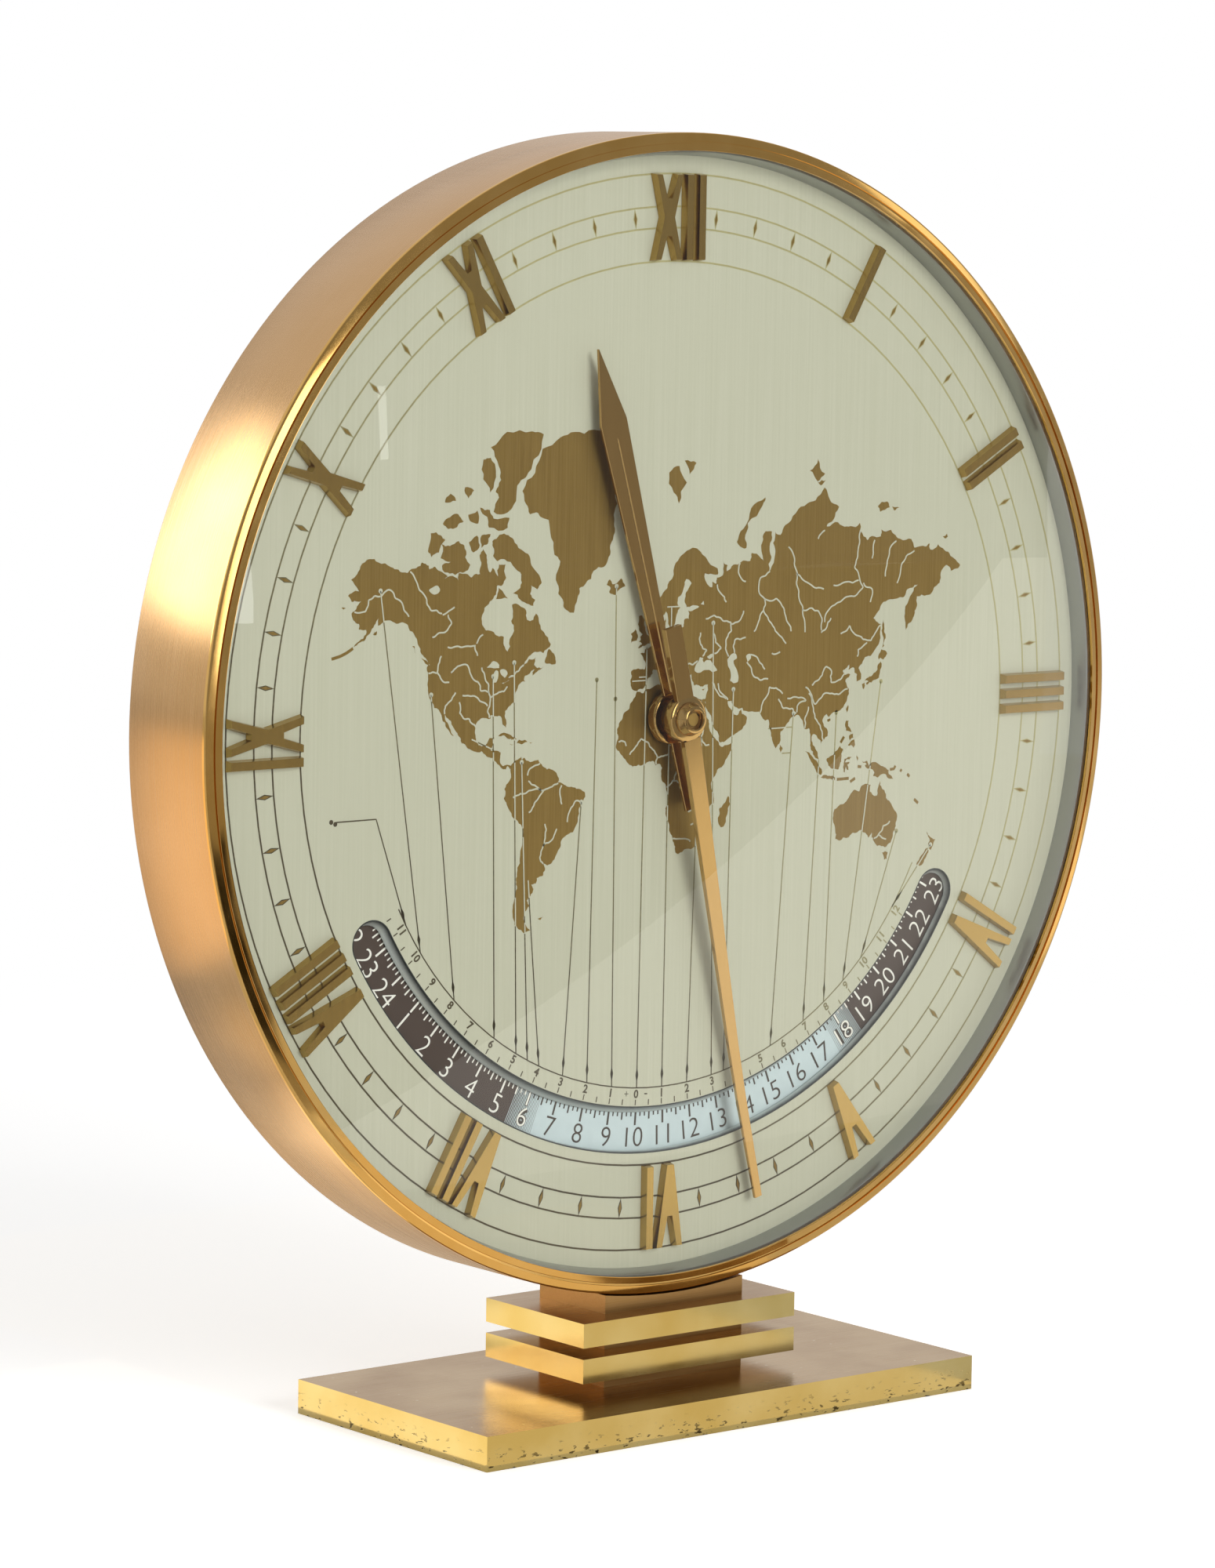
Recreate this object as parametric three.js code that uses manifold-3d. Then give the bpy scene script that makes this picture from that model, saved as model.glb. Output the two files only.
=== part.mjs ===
// A world-time table clock: a shallow brass drum on a stepped brass stand.
// A battery movement turns two hands and, far more slowly, a ring of hours that shows
// through an arc-shaped slot in the dial.  Millimetres, +Z up, the dial faces -Y,
// and the origin lies under the middle of the base plate.
import * as THREE from 'three';
import { mergeVertices } from 'three/addons/utils/BufferGeometryUtils.js';
import Module from 'manifold-3d';

const wasm = await Module();
wasm.setup();

// Stand: a base plate, then necks and slabs in turn, held by two long bolts
const BASE_WIDTH = 144.6;
const BASE_DEPTH = 70.6;
const BASE_HEIGHT = 8;
const SLAB_WIDTH = 63;
const SLAB_DEPTH = 36;
const SLAB_HEIGHT = 5.6;
const NECK_WIDTH = 41;
const NECK_DEPTH = 24;
const LOWER_NECK_HEIGHT = 3.3;
const MIDDLE_NECK_HEIGHT = 2.6;
const UPPER_NECK_HEIGHT = 3;
const SADDLE_GAP = 0.3;
const BOLT_EDGE = 8.5;
const BOLT_RADIUS = 2;
const BOLT_FIT = 0.2;
const BOLT_HEAD_RADIUS = 4;
const BOLT_HEAD_HEIGHT = 2.6;
const BOLT_HEAD_SINK = 0.8;
const BOLT_HEAD_FIT = 0.5;
const BOLT_REACH = 4.5;
const BOSS_WALL = 1.7;

// Case: band, bezel, glass and the sloping flange between glass and dial
const DRUM_RADIUS = 132.5;
const CASE_SETBACK = 2.425;
const BAND_WALL = 2.2;
const SHOULDER_WIDTH = 3.5;
const SHOULDER_THICKNESS = 1.5;
const REAR_SHOULDER_WIDTH = 8.3;
const BEZEL_WALL = 3.1;
const BEZEL_WIDTH = 4.1;
const BEZEL_LIP = 0.7;
const BEZEL_SEAT_LIFT = 5;
const OUTER_BEAD_WIDTH = 2;
const OUTER_BEAD_HEIGHT = 0.6;
const INNER_BEAD_HEIGHT = 0.9;
const GLASS_THICKNESS = 1.4;
const GLASS_FIT = 0.4;
const GLASS_LIP_GAP = 0.3;
const GLASS_NUT_GAP = 1.2;
const FLANGE_DEPTH = 4.55;
const FLANGE_SLOPE = 1.1;

// Dial, numerals and the slot that shows the hour ring
const DIAL_THICKNESS = 1.2;
const DIAL_FIT = 0.5;
const NUMERAL_MARGIN = 4.1;
const NUMERAL_LENGTH = 19.7;
const NUMERAL_HEIGHT = 1.9;
const NUMERAL_BEVEL = 0.3;
const BAR_WIDTH = 2.5;
const BAR_GAP = 1.1;
const WIDE_GAP = 0.6;
const V_WIDTH = 8.3;
const X_WIDTH = 8.5;
const LEG_WIDTH = 2.2;
const V_NOTCH = 7.2;
const X_NOTCH = 5.3;
const X_WAIST = 3.6;
const NOTCH_ROUND = 0.9;
const SLOT_MARGIN = 2.8;
const SLOT_WIDTH = 10.7;
const SLOT_HALF_ANGLE = THREE.MathUtils.degToRad(61);
const SLOT_RIM_WALL = 0.8;
const SLOT_RIM_DEPTH = 1.8;

// Hour ring disc
const DISC_GAP = 0.5;
const DISC_THICKNESS = 0.8;
const DISC_OVERLAP = 2.3;
const DISC_RING_WIDTH = 19;
const DISC_HUB_RADIUS = 27;
const DISC_SPOKES = 4;
const DISC_SPOKE_WIDTH = 14;

// Hands, at twenty-eight minutes past eleven
const REST_HOURS = 11.4625;
const HOUR_HAND_GAP = 2.7;
const HOUR_HAND_LIFT = 2.4;
const HOUR_HAND_THICKNESS = 0.6;
const HOUR_HAND_ROOT = 3.6;
const HOUR_HAND_WIDTH = 7.7;
const HOUR_HAND_POINT = 17;
const HOUR_TAIL = 22;
const HOUR_TAIL_WIDTH = 5.4;
const HOUR_COLLAR_RADIUS = 6.4;
const HOUR_COLLAR_DEPTH = 1.6;
const MINUTE_HAND_GAP = 6.2;
const MINUTE_HAND_LIFT = 6.3;
const MINUTE_HAND_THICKNESS = 1.4;
const MINUTE_TIP_THICKNESS = 0.8;
const MINUTE_TIP_GAP = 0.6;
const MINUTE_HAND_ROOT = 4.8;
const MINUTE_HAND_TIP = 2.1;
const MINUTE_TAIL = 21.7;
const MINUTE_COLLAR_RADIUS = 5.4;
const MINUTE_COLLAR_DEPTH = 1;
const NUT_RADIUS = 3.9;
const NUT_HEIGHT = 1.9;
const NUT_RECESS_RADIUS = 2.4;
const NUT_RECESS_DEPTH = 0.9;
const POINT_WIDTH = 0.2;
const HAND_STATIONS = 9;
const STRAIGHT_DROP_SHARE = 0.69;

// Going train: every wheel pair has the same centre distance
const CENTRE_DISTANCE = 24;
const CANNON_TEETH = 12;
const MINUTE_WHEEL_TEETH = 36;
const MINUTE_PINION_TEETH = 10;
const HOUR_WHEEL_TEETH = 40;
const HOUR_PINION_TEETH = 20;
const IDLER_WHEEL_TEETH = 40;
const IDLER_PINION_TEETH = 12;
const RING_WHEEL_TEETH = 36;
const CENTRE_WHEEL_TEETH = 50;
const MOTOR_PINION_TEETH = 10;
const ADDENDUM = 0.75;
const DEDENDUM = 1;
const TOOTH_TIP_SHARE = 0.18;
const TOOTH_ROOT_SHARE = 0.42;
const GEAR_THICKNESS = 1.5;
const LAYER_GAP = 0.4;
const ARBOR_RADIUS = 2.6;
const ARBOR_TIP_RADIUS = 1.5;
const ARBOR_REAR_RADIUS = 2;
const RUNNING_FIT = 0.08;
const HOUR_PIPE_WALL = 1.65;
const STUD_RADIUS = 1.5;
const STUD_SHOULDER_RADIUS = 3;

// Movement: plate, housing, motor, battery and contacts
const PLATE_GAP = 0.5;
const PLATE_THICKNESS = 1.5;
const PLATE_EDGE = 3;
const PILLAR_RADIUS = 3;
const PILLAR_GAP = 4;
const PILLAR_COUNT = 4;
const HOUSING_WALL = 1.5;
const HOUSING_BACK = 1.2;
const HOUSING_GAP = 3;
const WINDOW_GAP = 0.5;
const MOTOR_RADIUS = 13;
const MOTOR_DEPTH = 5;
const MOTOR_SHAFT_RADIUS = 1;
const MOTOR_SHAFT_DEPTH = 3;
const BATTERY_RADIUS = 7.25;
const BATTERY_LENGTH = 48.5;
const BATTERY_BUTTON_RADIUS = 2.75;
const BATTERY_BUTTON_LENGTH = 2;
const BATTERY_FIT = 0.5;
const BAY_FLOOR = 1.2;
const BAY_GAP = 0.6;
const CONTACT_SPACE = 3;
const CONTACT_STRIP = 0.5;
const CONTACT_WIDTH = 9;
const CONTACT_TOUCH = 0.3;

// Back: cover, screws, battery door and setting knob
const COVER_GAP = 0.5;
const COVER_THICKNESS = 1.5;
const COVER_FIT = 0.3;
const COVER_HOLE_FIT = 1;
const SCREW_COUNT = 3;
const SCREW_EDGE = 4.3;
const SCREW_RADIUS = 1.2;
const SCREW_FIT = 0.2;
const SCREW_HEAD_RADIUS = 2.6;
const SCREW_HEAD_HEIGHT = 1.4;
const SCREW_SLOT_WIDTH = 0.6;
const SCREW_SLOT_DEPTH = 0.6;
const DOOR_GAP = 0.5;
const DOOR_OVERHANG = 2;
const HINGE_RADIUS = 1.5;
const HINGE_LIFT = 0.3;
const HINGE_PIN_RADIUS = 0.8;
const HINGE_PIN_LENGTH = 2.4;
const HINGE_PIN_FIT = 0.08;
const LUG_WALL = 1.2;
const LUG_LENGTH = 3;
const THUMB_LIP_WIDTH = 9;
const THUMB_LIP_DEPTH = 1.4;
const THUMB_LIP_HEIGHT = 1;
const KNOB_GAP = 0.6;
const KNOB_RADIUS = 8;
const KNOB_DEPTH = 5.5;
const KNOB_KNURL_COUNT = 24;
const KNOB_KNURL_DEPTH = 0.5;
const KNOB_SKIN = 1;

// Facets on large rounds, small rounds, arcs and curved profiles
const ROUND_FACET_COUNT = 72;
const SMALL_FACET_COUNT = 16;
const ARC_STEPS = 10;
const PROFILE_STEPS = 3;
const GLASS_STEPS = 4;
const SADDLE_STEPS = 12;

// Heights of the stand's pieces
const lowerNeckZ = BASE_HEIGHT;
const lowerSlabZ = lowerNeckZ + LOWER_NECK_HEIGHT;
const middleNeckZ = lowerSlabZ + SLAB_HEIGHT;
const upperSlabZ = middleNeckZ + MIDDLE_NECK_HEIGHT;
const upperNeckZ = upperSlabZ + SLAB_HEIGHT;
const drumBottomZ = upperNeckZ + UPPER_NECK_HEIGHT;
const axisZ = drumBottomZ + DRUM_RADIUS;
const boltX = NECK_WIDTH / 2 - BOLT_EDGE;
const boltHeadTopZ = BOLT_HEAD_SINK + BOLT_HEAD_HEIGHT;

// Depths measured back from the dial's front face
const bezelLift = FLANGE_DEPTH + GLASS_THICKNESS + GLASS_LIP_GAP + BEZEL_LIP;
const discFront = SLOT_RIM_DEPTH + DISC_GAP;
const discBack = discFront + DISC_THICKNESS;
const layers = gearLayers(discBack, 4);
const plateFront = layers[3].back + PLATE_GAP;
const plateBack = plateFront + PLATE_THICKNESS;
const driveFront = plateBack + PLATE_GAP;
const driveBack = driveFront + GEAR_THICKNESS;
const bayFront = discBack + BAY_GAP;
const batteryFront = bayFront + BAY_FLOOR + BATTERY_FIT;
const batteryBack = batteryFront + 2 * BATTERY_RADIUS;
const motorFront = driveBack + LAYER_GAP;
const housingBack = Math.max(motorFront + MOTOR_DEPTH + HOUSING_BACK, batteryBack + BATTERY_FIT);
const motorBack = housingBack - HOUSING_BACK;
const coverFront = housingBack + COVER_GAP;
const coverBack = coverFront + COVER_THICKNESS;
const caseDepth = bezelLift + coverBack;
const dialY = CASE_SETBACK - caseDepth / 2 + bezelLift;

// Radii, worked inwards from the drum
const bandInnerR = DRUM_RADIUS - BAND_WALL;
const dialR = bandInnerR - DIAL_FIT;
const skirtInnerR = DRUM_RADIUS - BEZEL_WALL;
const glassR = skirtInnerR - GLASS_FIT;
const lipR = DRUM_RADIUS - BEZEL_WIDTH;
const dialEdgeR = lipR - FLANGE_SLOPE;
const numeralOuterR = dialEdgeR - NUMERAL_MARGIN;
const numeralInnerR = numeralOuterR - NUMERAL_LENGTH;
const slotOuterR = numeralInnerR - SLOT_MARGIN;
const slotInnerR = slotOuterR - SLOT_WIDTH;
const discR = slotOuterR + DISC_OVERLAP;
const discRingR = discR - DISC_RING_WIDTH;
const pillarCircleR = discR + PILLAR_GAP + PILLAR_RADIUS;
const plateR = pillarCircleR + PILLAR_RADIUS + PLATE_EDGE;
const hourPipeR = ARBOR_RADIUS + RUNNING_FIT + HOUR_PIPE_WALL;
const hourHandLength = slotInnerR - HOUR_HAND_GAP;
const minuteHandLength = numeralOuterR - MINUTE_HAND_GAP;

// Lifts in front of the dial
const hourHandTop = HOUR_HAND_LIFT + HOUR_HAND_THICKNESS;
const minuteHandTop = MINUTE_HAND_LIFT + MINUTE_HAND_THICKNESS;
const minuteTipTop = NUMERAL_HEIGHT + MINUTE_TIP_GAP + MINUTE_TIP_THICKNESS;
const nutTop = minuteHandTop + NUT_HEIGHT;
const arborTip = nutTop - NUT_RECESS_DEPTH / 2;
const glassCrown = nutTop + GLASS_NUT_GAP;

// Movement and battery bay, across and up from the hands' axis
const centreWheelR = tipRadius(CENTRE_WHEEL_TEETH, MOTOR_PINION_TEETH);
const chamberHalfX = Math.max(centreWheelR, MOTOR_RADIUS) + HOUSING_GAP;
const chamberTop = CENTRE_DISTANCE + MOTOR_RADIUS + HOUSING_GAP;
const chamberBottom = -centreWheelR - HOUSING_GAP;
const bayTop = chamberBottom - HOUSING_WALL;
const batteryZ = bayTop - BATTERY_FIT - BATTERY_RADIUS;
const bayBottom = batteryZ - BATTERY_RADIUS - BATTERY_FIT;
const batteryHalfX = (BATTERY_LENGTH + BATTERY_BUTTON_LENGTH) / 2;
const bayHalfX = batteryHalfX + CONTACT_SPACE;
const doorHalfX = bayHalfX + DOOR_OVERHANG;
const doorHalfZ = BATTERY_RADIUS + DOOR_OVERHANG;
const hingeX = -doorHalfX;
const hingeDepth = coverBack + HINGE_LIFT;
const screwCircleR = bandInnerR - SCREW_EDGE;

// Finishes: colour, roughness and metalness
const FINISHES = {
  polishedBrass: ['#c79a4a', 0.22, 1],
  brushedBrass: ['#c9a77b', 0.38, 1],
  satinBrass: ['#a98a5f', 0.42, 1],
  handBrass: ['#b58a47', 0.3, 1],
  wheelBrass: ['#b89650', 0.4, 1],
  steel: ['#9b9b98', 0.4, 1],
  glass: ['#e6eee8', 0.05, 0],
  flangeGrey: ['#8f9088', 0.6, 0],
  dialCream: ['#c9cbb5', 0.6, 0],
  ringBlue: ['#bfd6dc', 0.6, 0],
  plastic: ['#2c2c2b', 0.6, 0],
  battery: ['#4d4f52', 0.4, 0],
};

// The front and back of gear layers stacked behind a start depth
function gearLayers(start, count) {
  const stack = [];
  for (let i = 0; i < count; i += 1) {
    const front = start + i * (GEAR_THICKNESS + LAYER_GAP);
    stack.push({ front, back: front + GEAR_THICKNESS });
  }
  return stack;
}

// Six times the closed mesh's volume has the sign that says which way its faces point
function volumeSign(position, index) {
  const corners = [new THREE.Vector3(), new THREE.Vector3(), new THREE.Vector3()];
  let sum = 0;
  for (let i = 0; i < index.length; i += 3) {
    corners.forEach((corner, k) => corner.fromBufferAttribute(position, index[i + k]));
    sum += corners[0].dot(corners[1].cross(corners[2]));
  }
  return Math.sign(sum);
}

// A bare closed mesh: shared vertices merged, empty triangles dropped, faces pointing out
function closed(geometry) {
  const bare = new THREE.BufferGeometry();
  bare.setAttribute('position', geometry.getAttribute('position').clone());
  if (geometry.index) bare.setIndex(geometry.index.clone());
  const merged = mergeVertices(bare);
  const kept = [];
  const all = merged.index.array;
  for (let i = 0; i < all.length; i += 3) {
    const [a, b, c] = all.slice(i, i + 3);
    if (a !== b && b !== c && c !== a) kept.push(a, b, c);
  }
  if (volumeSign(merged.getAttribute('position'), kept) < 0) kept.reverse();
  merged.setIndex(kept);
  return merged;
}

function toSolid(geometry) {
  const bare = closed(geometry);
  const vertProperties = Float32Array.from(bare.getAttribute('position').array);
  const triVerts = Uint32Array.from(bare.index.array);
  return new wasm.Manifold(new wasm.Mesh({ numProp: 3, vertProperties, triVerts }));
}

function toGeometry(solid) {
  const mesh = solid.getMesh();
  const geometry = new THREE.BufferGeometry();
  geometry.setAttribute('position', new THREE.BufferAttribute(Float32Array.from(mesh.vertProperties), 3));
  geometry.setIndex(Array.from(mesh.triVerts));
  return geometry;
}

function join(first, ...others) {
  return toGeometry(others.reduce((whole, other) => whole.add(toSolid(other)), toSolid(first)));
}

function cut(body, ...tools) {
  return toGeometry(tools.reduce((whole, tool) => whole.subtract(toSolid(tool)), toSolid(body)));
}

// A point on a circle round the hands' axis, seen from the front: x right, z up
function polar(radius, angle) {
  return new THREE.Vector2(radius * Math.cos(angle), radius * Math.sin(angle));
}

// An outline in the dial's plane, made solid between two depths behind the dial's front
function plate(shape, front, back) {
  const settings = { depth: back - front, bevelEnabled: false, curveSegments: ARC_STEPS };
  return new THREE.ExtrudeGeometry(shape, settings).rotateX(Math.PI / 2).translate(0, dialY + back, 0);
}

// A profile of [radius, depth] points turned round the hands' axis
function turned(profile, facets = ROUND_FACET_COUNT) {
  return new THREE.LatheGeometry(profile.map(([r, depth]) => new THREE.Vector2(r, dialY + depth)), facets);
}

function disc(radius, front, back, facets = ROUND_FACET_COUNT) {
  return turned([[0, front], [radius, front], [radius, back], [0, back]], facets);
}

// A small round pin along the hands' direction, standing at x, z
function pin(radius, front, back, x, z) {
  return disc(radius, front, back, SMALL_FACET_COUNT).translate(x, 0, z);
}

function block(halfX, front, back, bottom, top, x = 0) {
  const box = new THREE.BoxGeometry(2 * halfX, back - front, top - bottom);
  return box.translate(x, dialY + (front + back) / 2, (bottom + top) / 2);
}

// An upright round bar between two heights
function bar(radius, bottom, top, x, y) {
  const rod = new THREE.CylinderGeometry(radius, radius, top - bottom, SMALL_FACET_COUNT);
  return rod.rotateX(Math.PI / 2).translate(x, y, (bottom + top) / 2);
}

// Module of a wheel pair at the common centre distance
function pairModule(teeth, mateTeeth) {
  return 2 * CENTRE_DISTANCE / (teeth + mateTeeth);
}

function tipRadius(teeth, mateTeeth) {
  return pairModule(teeth, mateTeeth) * (teeth / 2 + ADDENDUM);
}

// A wheel with straight-flanked teeth, one tooth centred on the angle `facing`
function wheel(teeth, mateTeeth, facing, front, back) {
  const pitch = 2 * Math.PI / teeth;
  const tip = tipRadius(teeth, mateTeeth);
  const root = pairModule(teeth, mateTeeth) * (teeth / 2 - DEDENDUM);
  const halfTip = TOOTH_TIP_SHARE * pitch / 2;
  const halfRoot = TOOTH_ROOT_SHARE * pitch / 2;
  const points = [];
  for (let i = 0; i < teeth; i += 1) {
    const middle = facing + i * pitch;
    points.push(polar(root, middle - halfRoot), polar(tip, middle - halfTip));
    points.push(polar(tip, middle + halfTip), polar(root, middle + halfRoot));
  }
  return plate(new THREE.Shape(points), front, back);
}

// The angle that puts a gap, instead of a tooth, towards the mating wheel
function gapFacing(teeth, angle) {
  return angle + Math.PI / teeth;
}

// A closed outline raised off the dial, its upper edge drawn in by a bevel
function bevelled(outline, height, inset) {
  const triangles = THREE.ShapeUtils.triangulateShape(outline, []);
  const upper = outline.map((point, i) => drawnIn(outline, i, inset));
  const count = outline.length;
  const vertices = [];
  outline.forEach((p) => vertices.push(p.x, dialY, p.y));
  upper.forEach((p) => vertices.push(p.x, dialY - height, p.y));
  const index = [];
  for (const [a, b, c] of triangles) {
    index.push(a, c, b, count + a, count + b, count + c);
  }
  for (let i = 0; i < count; i += 1) {
    const next = (i + 1) % count;
    index.push(i, next, count + next, i, count + next, count + i);
  }
  const geometry = new THREE.BufferGeometry();
  geometry.setAttribute('position', new THREE.Float32BufferAttribute(vertices, 3));
  geometry.setIndex(index);
  return closed(geometry);
}

// Corner i of an anticlockwise outline, moved inwards so both its edges move by `inset`
function drawnIn(outline, i, inset) {
  const count = outline.length;
  const before = edgeNormal(outline[(i + count - 1) % count], outline[i]);
  const after = edgeNormal(outline[i], outline[(i + 1) % count]);
  const share = inset / (1 + before.dot(after));
  return outline[i].clone().addScaledVector(before.add(after), share);
}

function edgeNormal(from, to) {
  const along = to.clone().sub(from).normalize();
  return new THREE.Vector2(-along.y, along.x);
}

// A blade along 12 o'clock through stations of reach, half width, back lift and front lift
function blade(stations) {
  const vertices = [];
  const index = [];
  for (const { reach, half, back, front } of stations) {
    vertices.push(-half, dialY - back, reach, half, dialY - back, reach);
    vertices.push(half, dialY - front, reach, -half, dialY - front, reach);
  }
  const corners = 4;
  for (let i = 0; i + 1 < stations.length; i += 1) {
    for (let k = 0; k < corners; k += 1) {
      const a = i * corners + k;
      const b = i * corners + (k + 1) % corners;
      index.push(a, b, b + corners, a, b + corners, a + corners);
    }
  }
  const last = (stations.length - 1) * corners;
  index.push(0, 2, 1, 0, 3, 2, last, last + 1, last + 2, last, last + 2, last + 3);
  const geometry = new THREE.BufferGeometry();
  geometry.setAttribute('position', new THREE.Float32BufferAttribute(vertices, 3));
  geometry.setIndex(index);
  return closed(geometry);
}

// Holes for the two bolts that clamp the stand to the drum
function boltHoles(radius, bottom, top) {
  return [bar(radius, bottom, top, -boltX, 0), bar(radius, bottom, top, boltX, 0)];
}

function standBlock(width, depth, bottom, height) {
  const box = new THREE.BoxGeometry(width, depth, height).translate(0, 0, bottom + height / 2);
  return cut(box, ...boltHoles(BOLT_RADIUS + BOLT_FIT, bottom - height, bottom + 2 * height));
}

function basePlate() {
  const plain = standBlock(BASE_WIDTH, BASE_DEPTH, 0, BASE_HEIGHT);
  return cut(plain, ...boltHoles(BOLT_HEAD_RADIUS + BOLT_HEAD_FIT, -BASE_HEIGHT, boltHeadTopZ));
}

// The top neck is hollowed to the drum's round underside
function upperNeck() {
  const seatR = DRUM_RADIUS + SADDLE_GAP;
  const half = NECK_WIDTH / 2;
  const outline = [new THREE.Vector2(-half, upperNeckZ), new THREE.Vector2(half, upperNeckZ)];
  for (let i = 0; i <= SADDLE_STEPS; i += 1) {
    const x = half - i * NECK_WIDTH / SADDLE_STEPS;
    outline.push(new THREE.Vector2(x, axisZ - Math.sqrt(seatR ** 2 - x ** 2)));
  }
  const settings = { depth: NECK_DEPTH, bevelEnabled: false };
  const body = new THREE.ExtrudeGeometry(new THREE.Shape(outline), settings);
  body.rotateX(Math.PI / 2).translate(0, NECK_DEPTH / 2, 0);
  return cut(body, ...boltHoles(BOLT_RADIUS + BOLT_FIT, upperSlabZ, axisZ));
}

function boltTop() {
  return axisZ - Math.sqrt(bandInnerR ** 2 - boltX ** 2) + BOLT_REACH;
}

function standBolt(x) {
  const head = bar(BOLT_HEAD_RADIUS, BOLT_HEAD_SINK, boltHeadTopZ, x, 0);
  return join(head, bar(BOLT_RADIUS, BOLT_HEAD_SINK, boltTop(), x, 0));
}

// Drum band: a turned tube with a shoulder for the dial, one for the rear cover and two bolt bosses
function caseBand() {
  const rearShoulderR = bandInnerR - REAR_SHOULDER_WIDTH;
  const frontShoulderR = bandInnerR - SHOULDER_WIDTH;
  const shoulderBack = DIAL_THICKNESS + SHOULDER_THICKNESS;
  const rearShoulderFront = coverFront - SHOULDER_THICKNESS;
  const profile = [
    [DRUM_RADIUS, -BEZEL_SEAT_LIFT], [DRUM_RADIUS, coverBack], [bandInnerR, coverBack],
    [bandInnerR, coverFront], [rearShoulderR, coverFront], [rearShoulderR, rearShoulderFront],
    [bandInnerR, rearShoulderFront], [bandInnerR, shoulderBack], [frontShoulderR, shoulderBack],
    [frontShoulderR, DIAL_THICKNESS], [bandInnerR, DIAL_THICKNESS], [bandInnerR, -BEZEL_SEAT_LIFT],
    [DRUM_RADIUS, -BEZEL_SEAT_LIFT],
  ];
  const bossR = BOLT_RADIUS + BOLT_FIT + BOSS_WALL;
  const bossFoot = (BAND_WALL / 4) - Math.sqrt(DRUM_RADIUS ** 2 - (boltX + bossR) ** 2);
  const bossTop = boltTop() - axisZ + BOSS_WALL;
  const bosses = [-boltX, boltX].map((x) => bar(bossR, bossFoot, bossTop, x, 0));
  const holeTop = boltTop() - axisZ + BOLT_FIT;
  const holes = boltHoles(BOLT_RADIUS + BOLT_FIT, -axisZ, holeTop);
  const screwHoles = screwSpots().map(([x, z]) => pin(SCREW_RADIUS + SCREW_FIT, motorBack, coverBack, x, z));
  return cut(join(turned(profile), ...bosses), ...holes, ...screwHoles);
}

// Half-round bead between two radii, standing on a base lift
function bead(outerR, innerR, baseLift, height) {
  const points = [];
  for (let i = 0; i <= PROFILE_STEPS; i += 1) {
    const share = i / PROFILE_STEPS;
    points.push([outerR + (innerR - outerR) * share, -baseLift - height * Math.sin(Math.PI * share)]);
  }
  return points;
}

function bezel() {
  const grooveLift = bezelLift - INNER_BEAD_HEIGHT;
  const grooveR = DRUM_RADIUS - OUTER_BEAD_WIDTH;
  const lipBack = bezelLift - BEZEL_LIP;
  const lipStart = grooveR - (grooveR - lipR) / (2 * PROFILE_STEPS);
  const profile = [
    [DRUM_RADIUS, -BEZEL_SEAT_LIFT],
    ...bead(DRUM_RADIUS, grooveR, grooveLift, OUTER_BEAD_HEIGHT),
    ...bead(lipStart, lipR, grooveLift, INNER_BEAD_HEIGHT).slice(0, -1),
    [lipR, -(lipBack + bezelLift) / 2],
    [lipR, -lipBack], [skirtInnerR, -lipBack], [skirtInnerR, -BEZEL_SEAT_LIFT],
    [DRUM_RADIUS, -BEZEL_SEAT_LIFT],
  ];
  return turned(profile);
}

// Domed glass: two faces of the same curve, a glass thickness apart
function glass() {
  const rise = glassCrown - FLANGE_DEPTH;
  const curveR = (glassR ** 2 + rise ** 2) / (2 * rise);
  const inner = [];
  const outer = [];
  for (let i = 0; i <= GLASS_STEPS; i += 1) {
    const r = glassR * i / GLASS_STEPS;
    const lift = glassCrown - (curveR - Math.sqrt(curveR ** 2 - r ** 2));
    inner.push([r, -lift]);
    outer.unshift([r, -lift - GLASS_THICKNESS]);
  }
  return turned([...inner, ...outer]);
}

function innerFlange() {
  return turned([
    [dialEdgeR, 0], [glassR, 0], [glassR, -FLANGE_DEPTH], [lipR, -FLANGE_DEPTH], [dialEdgeR, 0],
  ]);
}

// Round-ended arc centred on 6 o'clock
function slotOutline(innerR, outerR, halfAngle) {
  const start = -Math.PI / 2 - halfAngle;
  const end = -Math.PI / 2 + halfAngle;
  const capR = (outerR - innerR) / 2;
  const startCap = polar(innerR + capR, start);
  const endCap = polar(innerR + capR, end);
  const shape = new THREE.Shape();
  shape.absarc(0, 0, outerR, start, end, false);
  shape.absarc(endCap.x, endCap.y, capR, end, end + Math.PI, false);
  shape.absarc(0, 0, innerR, end, start, true);
  shape.absarc(startCap.x, startCap.y, capR, start + Math.PI, start + 2 * Math.PI, false);
  return shape;
}

function dial() {
  const rimShape = slotOutline(slotInnerR - SLOT_RIM_WALL, slotOuterR + SLOT_RIM_WALL, SLOT_HALF_ANGLE);
  const slotShape = slotOutline(slotInnerR, slotOuterR, SLOT_HALF_ANGLE);
  const face = join(disc(dialR, 0, DIAL_THICKNESS), plate(rimShape, 0, SLOT_RIM_DEPTH));
  const slot = plate(slotShape, -DIAL_THICKNESS, 2 * SLOT_RIM_DEPTH);
  const hole = pin(hourPipeR + DIAL_FIT, -DIAL_THICKNESS, 2 * DIAL_THICKNESS, 0, 0);
  return cut(face, slot, hole);
}

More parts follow.
